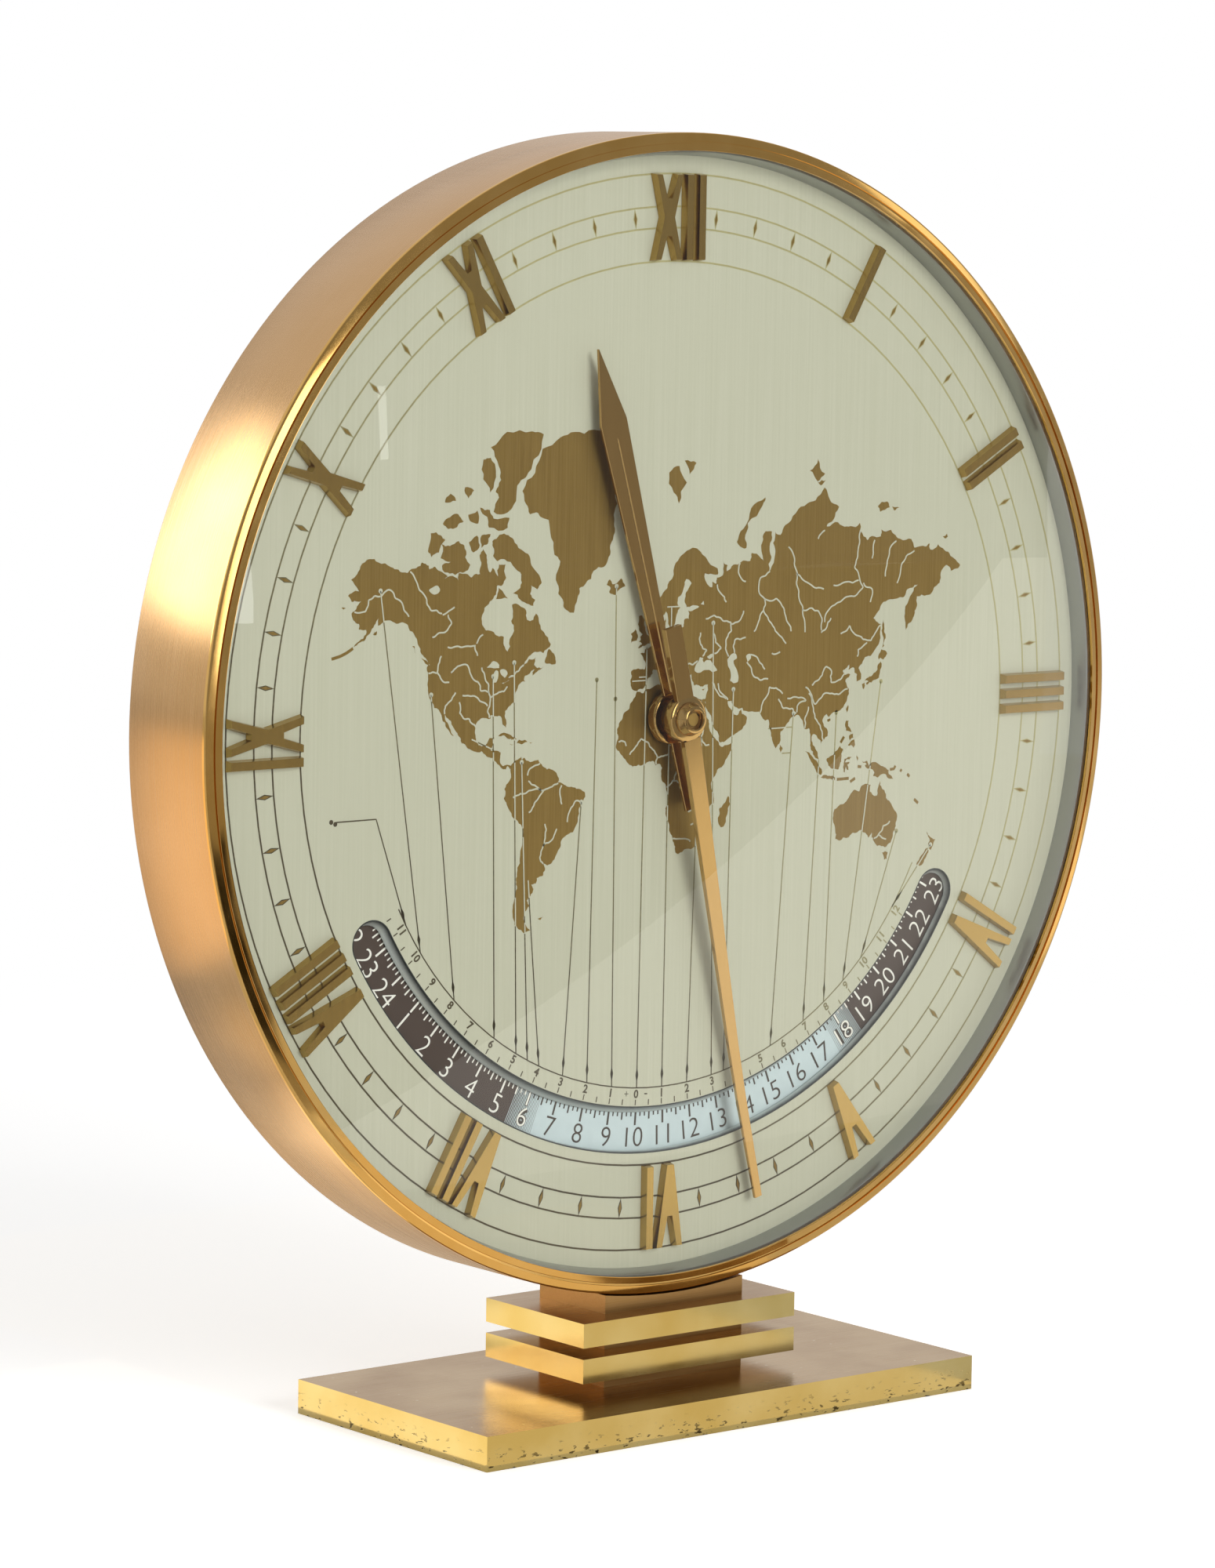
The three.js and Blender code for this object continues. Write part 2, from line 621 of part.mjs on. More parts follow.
// Numeral strokes stand on the dial at 12 o'clock: x to the right, y outwards
function strokeOutline(letter) {
  const low = numeralInnerR;
  const high = numeralOuterR;
  const point = (x, y) => new THREE.Vector2(x, y);
  const bar2 = BAR_WIDTH / 2;
  if (letter === 'I') {
    return [point(-bar2, low), point(bar2, low), point(bar2, high), point(-bar2, high)];
  }
  const round2 = NOTCH_ROUND / 2;
  if (letter === 'V') {
    const half = V_WIDTH / 2;
    const floor = high - V_NOTCH;
    return [
      point(-bar2, low), point(bar2, low), point(half, high), point(half - LEG_WIDTH, high),
      point(round2, floor), point(-round2, floor), point(LEG_WIDTH - half, high), point(-half, high),
    ];
  }
  const half = X_WIDTH / 2;
  const waist = X_WAIST / 2;
  const middle = (low + high) / 2;
  return [
    point(-half, low), point(LEG_WIDTH - half, low), point(-round2, low + X_NOTCH),
    point(round2, low + X_NOTCH), point(half - LEG_WIDTH, low), point(half, low),
    point(waist, middle), point(half, high), point(half - LEG_WIDTH, high),
    point(round2, high - X_NOTCH), point(-round2, high - X_NOTCH), point(LEG_WIDTH - half, high),
    point(-half, high), point(-waist, middle),
  ];
}

// Left-to-right places of a numeral's strokes, with the whole numeral centred
function strokePlaces(numeral) {
  const widths = { I: BAR_WIDTH, V: V_WIDTH, X: X_WIDTH };
  const places = [];
  let end = 0;
  [...numeral].forEach((letter, i) => {
    const sameBars = i > 0 && letter === 'I' && numeral[i - 1] === 'I';
    const gap = sameBars ? BAR_GAP : WIDE_GAP;
    const start = i === 0 ? 0 : end + gap;
    end = start + widths[letter];
    places.push({ letter, x: start + widths[letter] / 2 });
  });
  return places.map(({ letter, x }) => ({ letter, x: x - end / 2 }));
}

// Hour ring disc: an outer ring on spokes, with its wheel on the hub behind it
function dayDisc() {
  const face = disc(discR, discFront, discBack);
  const windows = [];
  const hubEdge = Math.asin(DISC_SPOKE_WIDTH / 2 / DISC_HUB_RADIUS);
  const ringEdge = Math.asin(DISC_SPOKE_WIDTH / 2 / discRingR);
  const step = 2 * Math.PI / DISC_SPOKES;
  for (let i = 0; i < DISC_SPOKES; i += 1) {
    const shape = new THREE.Shape();
    shape.absarc(0, 0, discRingR, i * step + ringEdge, (i + 1) * step - ringEdge, false);
    shape.absarc(0, 0, DISC_HUB_RADIUS, (i + 1) * step - hubEdge, i * step + hubEdge, true);
    windows.push(plate(shape, discFront - DISC_THICKNESS, discBack + DISC_THICKNESS));
  }
  const facing = gapFacing(RING_WHEEL_TEETH, Math.PI);
  const ringWheel = wheel(RING_WHEEL_TEETH, IDLER_PINION_TEETH, facing, discFront, layers[0].back);
  const bore = disc(hourPipeR + RUNNING_FIT, 0, layers[1].front, 2 * SMALL_FACET_COUNT);
  return cut(join(cut(face, ...windows), ringWheel), bore);
}

// Hour wheel on its pipe, with the pinion that drives the hour ring
function hourWheel() {
  const pipe = disc(hourPipeR, -HOUR_HAND_LIFT, layers[2].back, SMALL_FACET_COUNT);
  const large = wheel(HOUR_WHEEL_TEETH, MINUTE_PINION_TEETH, gapFacing(HOUR_WHEEL_TEETH, 0),
    layers[2].front, layers[2].back);
  const small = wheel(HOUR_PINION_TEETH, IDLER_WHEEL_TEETH, Math.PI, layers[1].front, layers[2].front);
  const bore = disc(ARBOR_RADIUS + RUNNING_FIT, -nutTop, plateFront, SMALL_FACET_COUNT);
  return cut(join(pipe, large, small), bore);
}

function minuteWheel() {
  const facing = gapFacing(MINUTE_WHEEL_TEETH, Math.PI);
  const large = wheel(MINUTE_WHEEL_TEETH, CANNON_TEETH, facing, layers[3].front, layers[3].back);
  const small = wheel(MINUTE_PINION_TEETH, HOUR_WHEEL_TEETH, Math.PI, layers[2].front, layers[3].front);
  const bore = disc(STUD_RADIUS + RUNNING_FIT, 0, plateBack, SMALL_FACET_COUNT);
  return cut(join(large, small), bore).translate(CENTRE_DISTANCE, 0, 0);
}

function ringIdler() {
  const facing = gapFacing(IDLER_WHEEL_TEETH, 0);
  const large = wheel(IDLER_WHEEL_TEETH, HOUR_PINION_TEETH, facing, layers[1].front, layers[1].back);
  const small = wheel(IDLER_PINION_TEETH, RING_WHEEL_TEETH, 0, layers[0].front + LAYER_GAP, layers[1].front);
  const bore = disc(STUD_RADIUS + RUNNING_FIT, 0, plateBack, SMALL_FACET_COUNT);
  return cut(join(large, small), bore).translate(-CENTRE_DISTANCE, 0, 0);
}

// Centre arbor: threaded tip, minute pipe with cannon pinion, centre wheel and the knob's shank
function centreArbor() {
  const knobBack = coverBack + KNOB_GAP + KNOB_DEPTH;
  const shaft = turned([
    [0, -arborTip], [ARBOR_TIP_RADIUS, -arborTip], [ARBOR_TIP_RADIUS, -minuteHandTop],
    [ARBOR_RADIUS, -minuteHandTop], [ARBOR_RADIUS, driveBack], [ARBOR_REAR_RADIUS, driveBack],
    [ARBOR_REAR_RADIUS, knobBack - KNOB_SKIN - RUNNING_FIT], [0, knobBack - KNOB_SKIN - RUNNING_FIT],
  ], SMALL_FACET_COUNT);
  const cannon = wheel(CANNON_TEETH, MINUTE_WHEEL_TEETH, 0, layers[3].front, layers[3].back);
  const centre = wheel(CENTRE_WHEEL_TEETH, MOTOR_PINION_TEETH, Math.PI / 2, driveFront, driveBack);
  return join(shaft, cannon, centre);
}

function hourHand() {
  const half = HOUR_HAND_WIDTH / 2;
  const lifts = { back: HOUR_HAND_LIFT, front: hourHandTop };
  const strip = blade([
    { reach: -HOUR_TAIL, half: HOUR_TAIL_WIDTH / 2, ...lifts },
    { reach: 0, half: HOUR_HAND_ROOT / 2, ...lifts },
    { reach: hourHandLength - HOUR_HAND_POINT, half, ...lifts },
    { reach: hourHandLength, half: POINT_WIDTH / 2, ...lifts },
  ]);
  const collarBack = HOUR_COLLAR_DEPTH - HOUR_HAND_LIFT;
  const collar = disc(HOUR_COLLAR_RADIUS, -hourHandTop, collarBack, 2 * SMALL_FACET_COUNT);
  const boreFront = pin(ARBOR_RADIUS + 2 * RUNNING_FIT, -nutTop, 0, 0, 0);
  const boreBack = disc(hourPipeR + RUNNING_FIT, -HOUR_HAND_LIFT, 0, 2 * SMALL_FACET_COUNT);
  return cut(join(strip, collar), boreFront, boreBack);
}

// The minute hand bends down towards the dial as it reaches outwards
function minuteHand() {
  const stations = [];
  const dropToTip = minuteHandTop - minuteTipTop;
  for (let i = 0; i <= HAND_STATIONS; i += 1) {
    const share = i / HAND_STATIONS;
    const drop = dropToTip * THREE.MathUtils.lerp(share ** 2, share, STRAIGHT_DROP_SHARE);
    const thickness = THREE.MathUtils.lerp(MINUTE_HAND_THICKNESS, MINUTE_TIP_THICKNESS, share);
    const front = minuteHandTop - drop;
    const half = THREE.MathUtils.lerp(MINUTE_HAND_ROOT, MINUTE_HAND_TIP, share) / 2;
    stations.push({ reach: minuteHandLength * share, half, back: front - thickness, front });
  }
  const root = { half: MINUTE_HAND_ROOT / 2, back: MINUTE_HAND_LIFT, front: minuteHandTop };
  const strip = blade([{ reach: -MINUTE_TAIL, ...root }, ...stations]);
  const collarBack = MINUTE_COLLAR_DEPTH - MINUTE_HAND_LIFT;
  const collar = disc(MINUTE_COLLAR_RADIUS, -minuteHandTop, collarBack, 2 * SMALL_FACET_COUNT);
  const bore = pin(ARBOR_RADIUS + RUNNING_FIT, -nutTop, 0, 0, 0);
  return cut(join(strip, collar), bore);
}

function handNut() {
  const recess = -nutTop + NUT_RECESS_DEPTH;
  const boreR = ARBOR_TIP_RADIUS + RUNNING_FIT;
  return turned([
    [boreR, -minuteHandTop], [NUT_RADIUS, -minuteHandTop], [NUT_RADIUS, -nutTop],
    [NUT_RECESS_RADIUS, -nutTop], [NUT_RECESS_RADIUS, recess], [boreR, recess], [boreR, -minuteHandTop],
  ], 2 * SMALL_FACET_COUNT);
}

// Movement plate: carries the wheels' studs, and the dial on four pillars
function frontPlate() {
  const minuteStud = [
    pin(STUD_SHOULDER_RADIUS, layers[3].back + LAYER_GAP / 2, plateBack, CENTRE_DISTANCE, 0),
    pin(STUD_RADIUS, layers[2].front, plateBack, CENTRE_DISTANCE, 0),
  ];
  const idlerStud = [
    pin(STUD_SHOULDER_RADIUS, layers[1].back + LAYER_GAP, plateBack, -CENTRE_DISTANCE, 0),
    pin(STUD_RADIUS, layers[0].front + LAYER_GAP, plateBack, -CENTRE_DISTANCE, 0),
  ];
  const pillars = [];
  for (let i = 0; i < PILLAR_COUNT; i += 1) {
    const spot = polar(pillarCircleR, 2 * Math.PI * (i + 0.5) / PILLAR_COUNT);
    pillars.push(pin(PILLAR_RADIUS, DIAL_THICKNESS, plateBack, spot.x, spot.y));
  }
  const whole = join(disc(plateR, plateFront, plateBack), ...minuteStud, ...idlerStud, ...pillars);
  const edge = HOUSING_WALL + WINDOW_GAP;
  const window = block(bayHalfX + edge, bayFront, housingBack, bayBottom - edge, bayTop + edge);
  return cut(whole, window, pin(ARBOR_RADIUS + RUNNING_FIT, 0, housingBack, 0, 0));
}

// Moulded housing: a wheel chamber closed by the plate, and a battery bay open to the back
function movementHousing() {
  const roof = chamberTop + HOUSING_WALL;
  const chamber = block(chamberHalfX + HOUSING_WALL, plateBack, housingBack, bayTop, roof);
  const hollow = block(chamberHalfX, plateFront, motorBack, chamberBottom, chamberTop);
  const bay = block(bayHalfX + HOUSING_WALL, bayFront, housingBack, bayBottom - HOUSING_WALL, chamberBottom);
  const pocket = block(bayHalfX, bayFront + BAY_FLOOR, coverBack, bayBottom, bayTop);
  const arborHole = pin(ARBOR_REAR_RADIUS + RUNNING_FIT, driveFront, coverBack, 0, 0);
  return cut(join(chamber, bay), hollow, pocket, arborHole);
}

function motor() {
  const can = disc(MOTOR_RADIUS, motorFront, motorBack, 2 * SMALL_FACET_COUNT);
  const boreBack = motorFront + MOTOR_SHAFT_DEPTH + RUNNING_FIT;
  const bore = disc(MOTOR_SHAFT_RADIUS + RUNNING_FIT, 0, boreBack, SMALL_FACET_COUNT);
  return cut(can, bore).translate(0, 0, CENTRE_DISTANCE);
}

function motorPinion() {
  const facing = gapFacing(MOTOR_PINION_TEETH, -Math.PI / 2);
  const teeth = wheel(MOTOR_PINION_TEETH, CENTRE_WHEEL_TEETH, facing, driveFront, driveBack);
  const shaft = disc(MOTOR_SHAFT_RADIUS, driveFront, motorFront + MOTOR_SHAFT_DEPTH, SMALL_FACET_COUNT);
  return join(teeth, shaft).translate(0, 0, CENTRE_DISTANCE);
}

// A round cell lying across the bay, its button to the right
function battery() {
  const end = batteryHalfX - BATTERY_BUTTON_LENGTH;
  const profile = [
    [0, -batteryHalfX], [BATTERY_RADIUS, -batteryHalfX], [BATTERY_RADIUS, end],
    [BATTERY_BUTTON_RADIUS, end], [BATTERY_BUTTON_RADIUS, batteryHalfX], [0, batteryHalfX],
  ];
  const points = profile.map(([r, x]) => new THREE.Vector2(r, x));
  const body = new THREE.LatheGeometry(points, 2 * SMALL_FACET_COUNT).rotateZ(-Math.PI / 2);
  return closed(body).translate(0, dialY + (batteryFront + batteryBack) / 2, batteryZ);
}

// A bowed contact strip between the bay's end wall and the battery; side is 1 or -1
function contactSpring(side) {
  const wallX = side * bayHalfX;
  const touchX = side * (batteryHalfX + CONTACT_TOUCH);
  const middleY = dialY + (batteryFront + batteryBack) / 2;
  const half = CONTACT_WIDTH / 2;
  const inward = -side * CONTACT_STRIP;
  const outline = [
    new THREE.Vector2(wallX, middleY - half), new THREE.Vector2(wallX + inward, middleY - half),
    new THREE.Vector2(touchX, middleY), new THREE.Vector2(wallX + inward, middleY + half),
    new THREE.Vector2(wallX, middleY + half), new THREE.Vector2(touchX - inward, middleY),
  ];
  const settings = { depth: CONTACT_WIDTH, bevelEnabled: false };
  const strip = new THREE.ExtrudeGeometry(new THREE.Shape(outline), settings);
  return closed(strip).translate(0, 0, batteryZ - CONTACT_WIDTH / 2);
}

function screwSpots() {
  const spots = [];
  for (let i = 0; i < SCREW_COUNT; i += 1) {
    const spot = polar(screwCircleR, Math.PI / 2 + 2 * Math.PI * i / SCREW_COUNT);
    spots.push([spot.x, spot.y]);
  }
  return spots;
}

function rearScrew([x, z]) {
  const headBack = coverBack + SCREW_HEAD_HEIGHT;
  const shank = pin(SCREW_RADIUS, coverFront - SHOULDER_THICKNESS, headBack, x, z);
  const head = pin(SCREW_HEAD_RADIUS, coverBack, headBack, x, z);
  const slot = block(2 * SCREW_HEAD_RADIUS, headBack - SCREW_SLOT_DEPTH, headBack + SCREW_SLOT_DEPTH,
    z - SCREW_SLOT_WIDTH / 2, z + SCREW_SLOT_WIDTH / 2, x);
  return cut(join(shank, head), slot);
}

// Rear cover: a disc with the battery door's opening, the door's hinge lugs and the screw holes
function rearCover() {
  const cover = disc(bandInnerR - COVER_FIT, coverFront, coverBack);
  const holes = screwSpots().map(([x, z]) => pin(SCREW_RADIUS + SCREW_FIT, 0, 2 * coverBack, x, z));
  const arborHole = pin(ARBOR_REAR_RADIUS + COVER_HOLE_FIT, 0, 2 * coverBack, 0, 0);
  const openHalfZ = doorHalfZ + DOOR_GAP;
  const openLeft = hingeX - HINGE_RADIUS - DOOR_GAP;
  const openRight = doorHalfX + DOOR_GAP;
  const opening = block((openRight - openLeft) / 2, 0, 2 * coverBack, batteryZ - openHalfZ,
    batteryZ + openHalfZ, (openLeft + openRight) / 2);
  const lugHalf = HINGE_PIN_RADIUS + HINGE_PIN_FIT + LUG_WALL;
  const lugBack = hingeDepth + lugHalf;
  const upperLug = block(lugHalf, coverFront, lugBack, batteryZ + openHalfZ,
    batteryZ + openHalfZ + LUG_LENGTH, hingeX);
  const lowerLug = block(lugHalf, coverFront, lugBack, batteryZ - openHalfZ - LUG_LENGTH,
    batteryZ - openHalfZ, hingeX);
  const pinHole = bar(HINGE_PIN_RADIUS + HINGE_PIN_FIT, batteryZ - openHalfZ - 2 * LUG_LENGTH,
    batteryZ + openHalfZ + 2 * LUG_LENGTH, hingeX, dialY + hingeDepth);
  return cut(join(cut(cover, opening), upperLug, lowerLug), arborHole, pinHole, ...holes);
}

// Battery door: a leaf with a barrel and two pins along its left edge and a thumb lip on the right
function batteryDoor() {
  const leaf = block((doorHalfX - hingeX) / 2, coverFront, coverBack, batteryZ - doorHalfZ,
    batteryZ + doorHalfZ, (hingeX + doorHalfX) / 2);
  const hingeY = dialY + hingeDepth;
  const barrel = bar(HINGE_RADIUS, batteryZ - doorHalfZ, batteryZ + doorHalfZ, hingeX, hingeY);
  const pins = bar(HINGE_PIN_RADIUS, batteryZ - doorHalfZ - HINGE_PIN_LENGTH,
    batteryZ + doorHalfZ + HINGE_PIN_LENGTH, hingeX, hingeY);
  const lip = block(THUMB_LIP_DEPTH / 2, coverFront, coverBack + THUMB_LIP_HEIGHT,
    batteryZ - THUMB_LIP_WIDTH / 2, batteryZ + THUMB_LIP_WIDTH / 2, doorHalfX - THUMB_LIP_DEPTH / 2);
  return join(leaf, barrel, pins, lip);
}

function settingKnob() {
  const points = [];
  for (let i = 0; i < KNOB_KNURL_COUNT; i += 1) {
    const angle = 2 * Math.PI * i / KNOB_KNURL_COUNT;
    points.push(polar(KNOB_RADIUS, angle));
    points.push(polar(KNOB_RADIUS - KNOB_KNURL_DEPTH, angle + Math.PI / KNOB_KNURL_COUNT));
  }
  const front = coverBack + KNOB_GAP;
  const body = plate(new THREE.Shape(points), front, front + KNOB_DEPTH);
  return cut(body, pin(ARBOR_REAR_RADIUS + RUNNING_FIT, 0, front + KNOB_DEPTH - KNOB_SKIN, 0, 0));
}

function addPiece(parent, name, geometry, finish) {
  const [color, roughness, metalness] = FINISHES[finish];
  const material = new THREE.MeshStandardMaterial({ color, roughness, metalness, flatShading: true });
  const mesh = new THREE.Mesh(closed(geometry), material);
  mesh.name = name;
  parent.add(mesh);
  return mesh;
}

function addStand(clock) {
  const neck = (bottom, height) => standBlock(NECK_WIDTH, NECK_DEPTH, bottom, height);
  const slab = (bottom) => standBlock(SLAB_WIDTH, SLAB_DEPTH, bottom, SLAB_HEIGHT);
  addPiece(clock, 'base_plate', basePlate(), 'satinBrass');
  addPiece(clock, 'lower_neck', neck(lowerNeckZ, LOWER_NECK_HEIGHT), 'brushedBrass');
  addPiece(clock, 'lower_slab', slab(lowerSlabZ), 'satinBrass');
  addPiece(clock, 'middle_neck', neck(middleNeckZ, MIDDLE_NECK_HEIGHT), 'brushedBrass');
  addPiece(clock, 'upper_slab', slab(upperSlabZ), 'satinBrass');
  addPiece(clock, 'upper_neck', upperNeck(), 'brushedBrass');
  addPiece(clock, 'stand_bolt_left', standBolt(-boltX), 'steel');
  addPiece(clock, 'stand_bolt_right', standBolt(boltX), 'steel');
}

function addCase(drum) {
  addPiece(drum, 'case_band', caseBand(), 'brushedBrass');
  addPiece(drum, 'bezel', bezel(), 'polishedBrass');
  addPiece(drum, 'glass', glass(), 'glass');
  addPiece(drum, 'inner_flange', innerFlange(), 'flangeGrey');
  addPiece(drum, 'dial', dial(), 'dialCream');
  addPiece(drum, 'rear_cover', rearCover(), 'brushedBrass');
  screwSpots().forEach((spot, i) => addPiece(drum, `rear_screw_${i + 1}`, rearScrew(spot), 'steel'));
  addPiece(drum, 'battery_door', batteryDoor(), 'brushedBrass');
}

// Twelve applied numerals, each stroke its own piece, their tops turned outwards
function addNumerals(drum) {
  const numerals = ['I', 'II', 'III', 'IV', 'V', 'VI', 'VII', 'VIII', 'IX', 'X', 'XI', 'XII'];
  numerals.forEach((numeral, i) => {
    const hour = i + 1;
    const place = new THREE.Group();
    place.rotation.y = THREE.MathUtils.degToRad(360 * hour / numerals.length);
    drum.add(place);
    strokePlaces(numeral).forEach(({ letter, x }, stroke) => {
      const geometry = bevelled(strokeOutline(letter), NUMERAL_HEIGHT, NUMERAL_BEVEL).translate(x, 0, 0);
      addPiece(place, `numeral_${hour}_${stroke + 1}${letter.toLowerCase()}`, geometry, 'handBrass');
    });
  });
}

function addMovement(drum) {
  addPiece(drum, 'front_plate', frontPlate(), 'steel');
  addPiece(drum, 'movement_housing', movementHousing(), 'plastic');
  addPiece(drum, 'motor', motor(), 'steel');
  addPiece(drum, 'motor_pinion', motorPinion(), 'wheelBrass');
  addPiece(drum, 'battery', battery(), 'battery');
  addPiece(drum, 'contact_spring_plus', contactSpring(1), 'steel');
  addPiece(drum, 'contact_spring_minus', contactSpring(-1), 'steel');
  addPiece(drum, 'centre_arbor', centreArbor(), 'steel');
  addPiece(drum, 'setting_knob', settingKnob(), 'polishedBrass');
  addPiece(drum, 'minute_wheel', minuteWheel(), 'wheelBrass');
  addPiece(drum, 'hour_wheel', hourWheel(), 'wheelBrass');
  addPiece(drum, 'ring_idler', ringIdler(), 'wheelBrass');
  addPiece(drum, 'day_disc', dayDisc(), 'ringBlue');
}

function addHands(drum) {
  const turn = 2 * Math.PI;
  addPiece(drum, 'hour_hand', hourHand(), 'handBrass').rotation.y = turn * REST_HOURS / 12;
  addPiece(drum, 'minute_hand', minuteHand(), 'handBrass').rotation.y = turn * (REST_HOURS % 1);
  addPiece(drum, 'hand_nut', handNut(), 'polishedBrass');
}

const clock = new THREE.Group();
addStand(clock);
const drum = new THREE.Group();
drum.position.z = axisZ;
clock.add(drum);
addCase(drum);
addNumerals(drum);
addMovement(drum);
addHands(drum);

export default clock;
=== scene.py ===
# World-time table clock: the looks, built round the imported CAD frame.
# Sizes are in millimetres.  On the dial, x runs right and z up from the hands' axis, and lift runs
# forwards from the dial's face; they become metres in the frame where a mesh is made.
import math

import bmesh
import bpy
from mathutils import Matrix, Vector
from mathutils.geometry import delaunay_2d_cdt


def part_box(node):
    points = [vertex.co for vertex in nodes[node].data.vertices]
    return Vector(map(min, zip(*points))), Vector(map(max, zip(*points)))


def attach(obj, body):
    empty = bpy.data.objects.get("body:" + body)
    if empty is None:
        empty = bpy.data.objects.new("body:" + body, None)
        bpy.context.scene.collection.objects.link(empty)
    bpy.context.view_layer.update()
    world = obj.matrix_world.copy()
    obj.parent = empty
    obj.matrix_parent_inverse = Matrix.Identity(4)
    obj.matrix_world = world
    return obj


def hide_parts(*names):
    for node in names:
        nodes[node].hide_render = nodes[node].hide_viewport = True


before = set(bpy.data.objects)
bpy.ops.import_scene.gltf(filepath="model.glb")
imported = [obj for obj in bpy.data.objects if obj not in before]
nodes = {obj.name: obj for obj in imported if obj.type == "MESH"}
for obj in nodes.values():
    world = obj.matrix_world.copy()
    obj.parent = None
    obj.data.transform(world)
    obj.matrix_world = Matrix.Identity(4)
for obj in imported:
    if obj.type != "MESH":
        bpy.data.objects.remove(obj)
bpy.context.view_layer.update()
MM = 0.001


# ---- Base plate and slabs ----------------------------------------------------------------
# Thick brass bar, sawn to blocks: the broad faces are lapped to a brown satin under old lacquer,
# the narrow edges are polished.  The blocks are stacked and clamped by two long bolts from below.

BLOCK_EDGE = 0.22
TOP_BROWNS = ("#B28C58", "#C9A878")
EDGE_GOLDS = ("#CFB56E", "#DDC88B")
PIT_AND_EDGE_BROWN = "#3A2A12"
DUST_PALE = "#E9DCC0"


def linear(code):
    """An sRGB hex colour as linear red, green, blue and alpha."""
    parts = [int(code[i:i + 2], 16) / 255 for i in (1, 3, 5)]
    return [p / 12.92 if p <= 0.04045 else ((p + 0.055) / 1.055) ** 2.4 for p in parts] + [1]


def wire(owner, node, links):
    """Sets a node's inputs, or links them where the value is another node's output."""
    for socket, value in links.items():
        if isinstance(value, bpy.types.NodeSocket):
            owner.node_tree.links.new(value, node.inputs[socket])
        else:
            node.inputs[socket].default_value = value


def add(owner, kind, links, out=0, **settings):
    """Adds a node with its settings and links to a material or world; gives one of its outputs."""
    node = owner.node_tree.nodes.new(kind)
    for setting, value in settings.items():
        setattr(node, setting, value)
    wire(owner, node, links)
    return node.outputs[out]


def finish(name):
    """A new material, whose Principled shader surface() then wires."""
    material = bpy.data.materials.new(name)
    material.use_nodes = True
    return material


def surface(material, links):
    wire(material, material.node_tree.nodes["Principled BSDF"], links)


def mixed(owner, share, first, second):
    """A colour between two, each a hex colour or another node's output."""
    pair = [linear(colour) if isinstance(colour, str) else colour for colour in (first, second)]
    return add(owner, "ShaderNodeMix", {0: share, 6: pair[0], 7: pair[1]}, 2, data_type="RGBA")


def ranged(owner, value, low, high, start=0, end=1):
    """Spreads a value's range from low to high over start to end, held at both ends."""
    return add(owner, "ShaderNodeMapRange", {0: value, 1: low, 2: high, 3: start, 4: end})


def noise(owner, size, detail):
    """Noise with features of a size in mm, or of three sizes along x, y and z."""
    place = add(owner, "ShaderNodeTexCoord", {}, 3)
    if isinstance(size, tuple):
        place = add(owner, "ShaderNodeMapping", {0: place, 3: [1000 / part for part in size]})
    scale = 1 if isinstance(size, tuple) else 1000 / size
    return add(owner, "ShaderNodeTexNoise", {"Vector": place, "Scale": scale, "Detail": detail})


def reckon(owner, operation, *values, **settings):
    """Adds a reckoning with one or two values, such as their sum."""
    return add(owner, "ShaderNodeMath", dict(enumerate(values)), operation=operation, **settings)


def dress(name, material, edge=0):
    """Gives a CAD node its finish and, where it has one, the small rounding of its edges."""
    node = nodes[name]
    node.data.materials.clear()
    node.data.materials.append(material)
    if edge:
        rounding = node.modifiers.new("edge", "BEVEL")
        rounding.width = edge * MM
        rounding.segments = 2
        rounding.limit_method = "ANGLE"
        rounding.angle_limit = math.radians(40)
        rounding.harden_normals = True


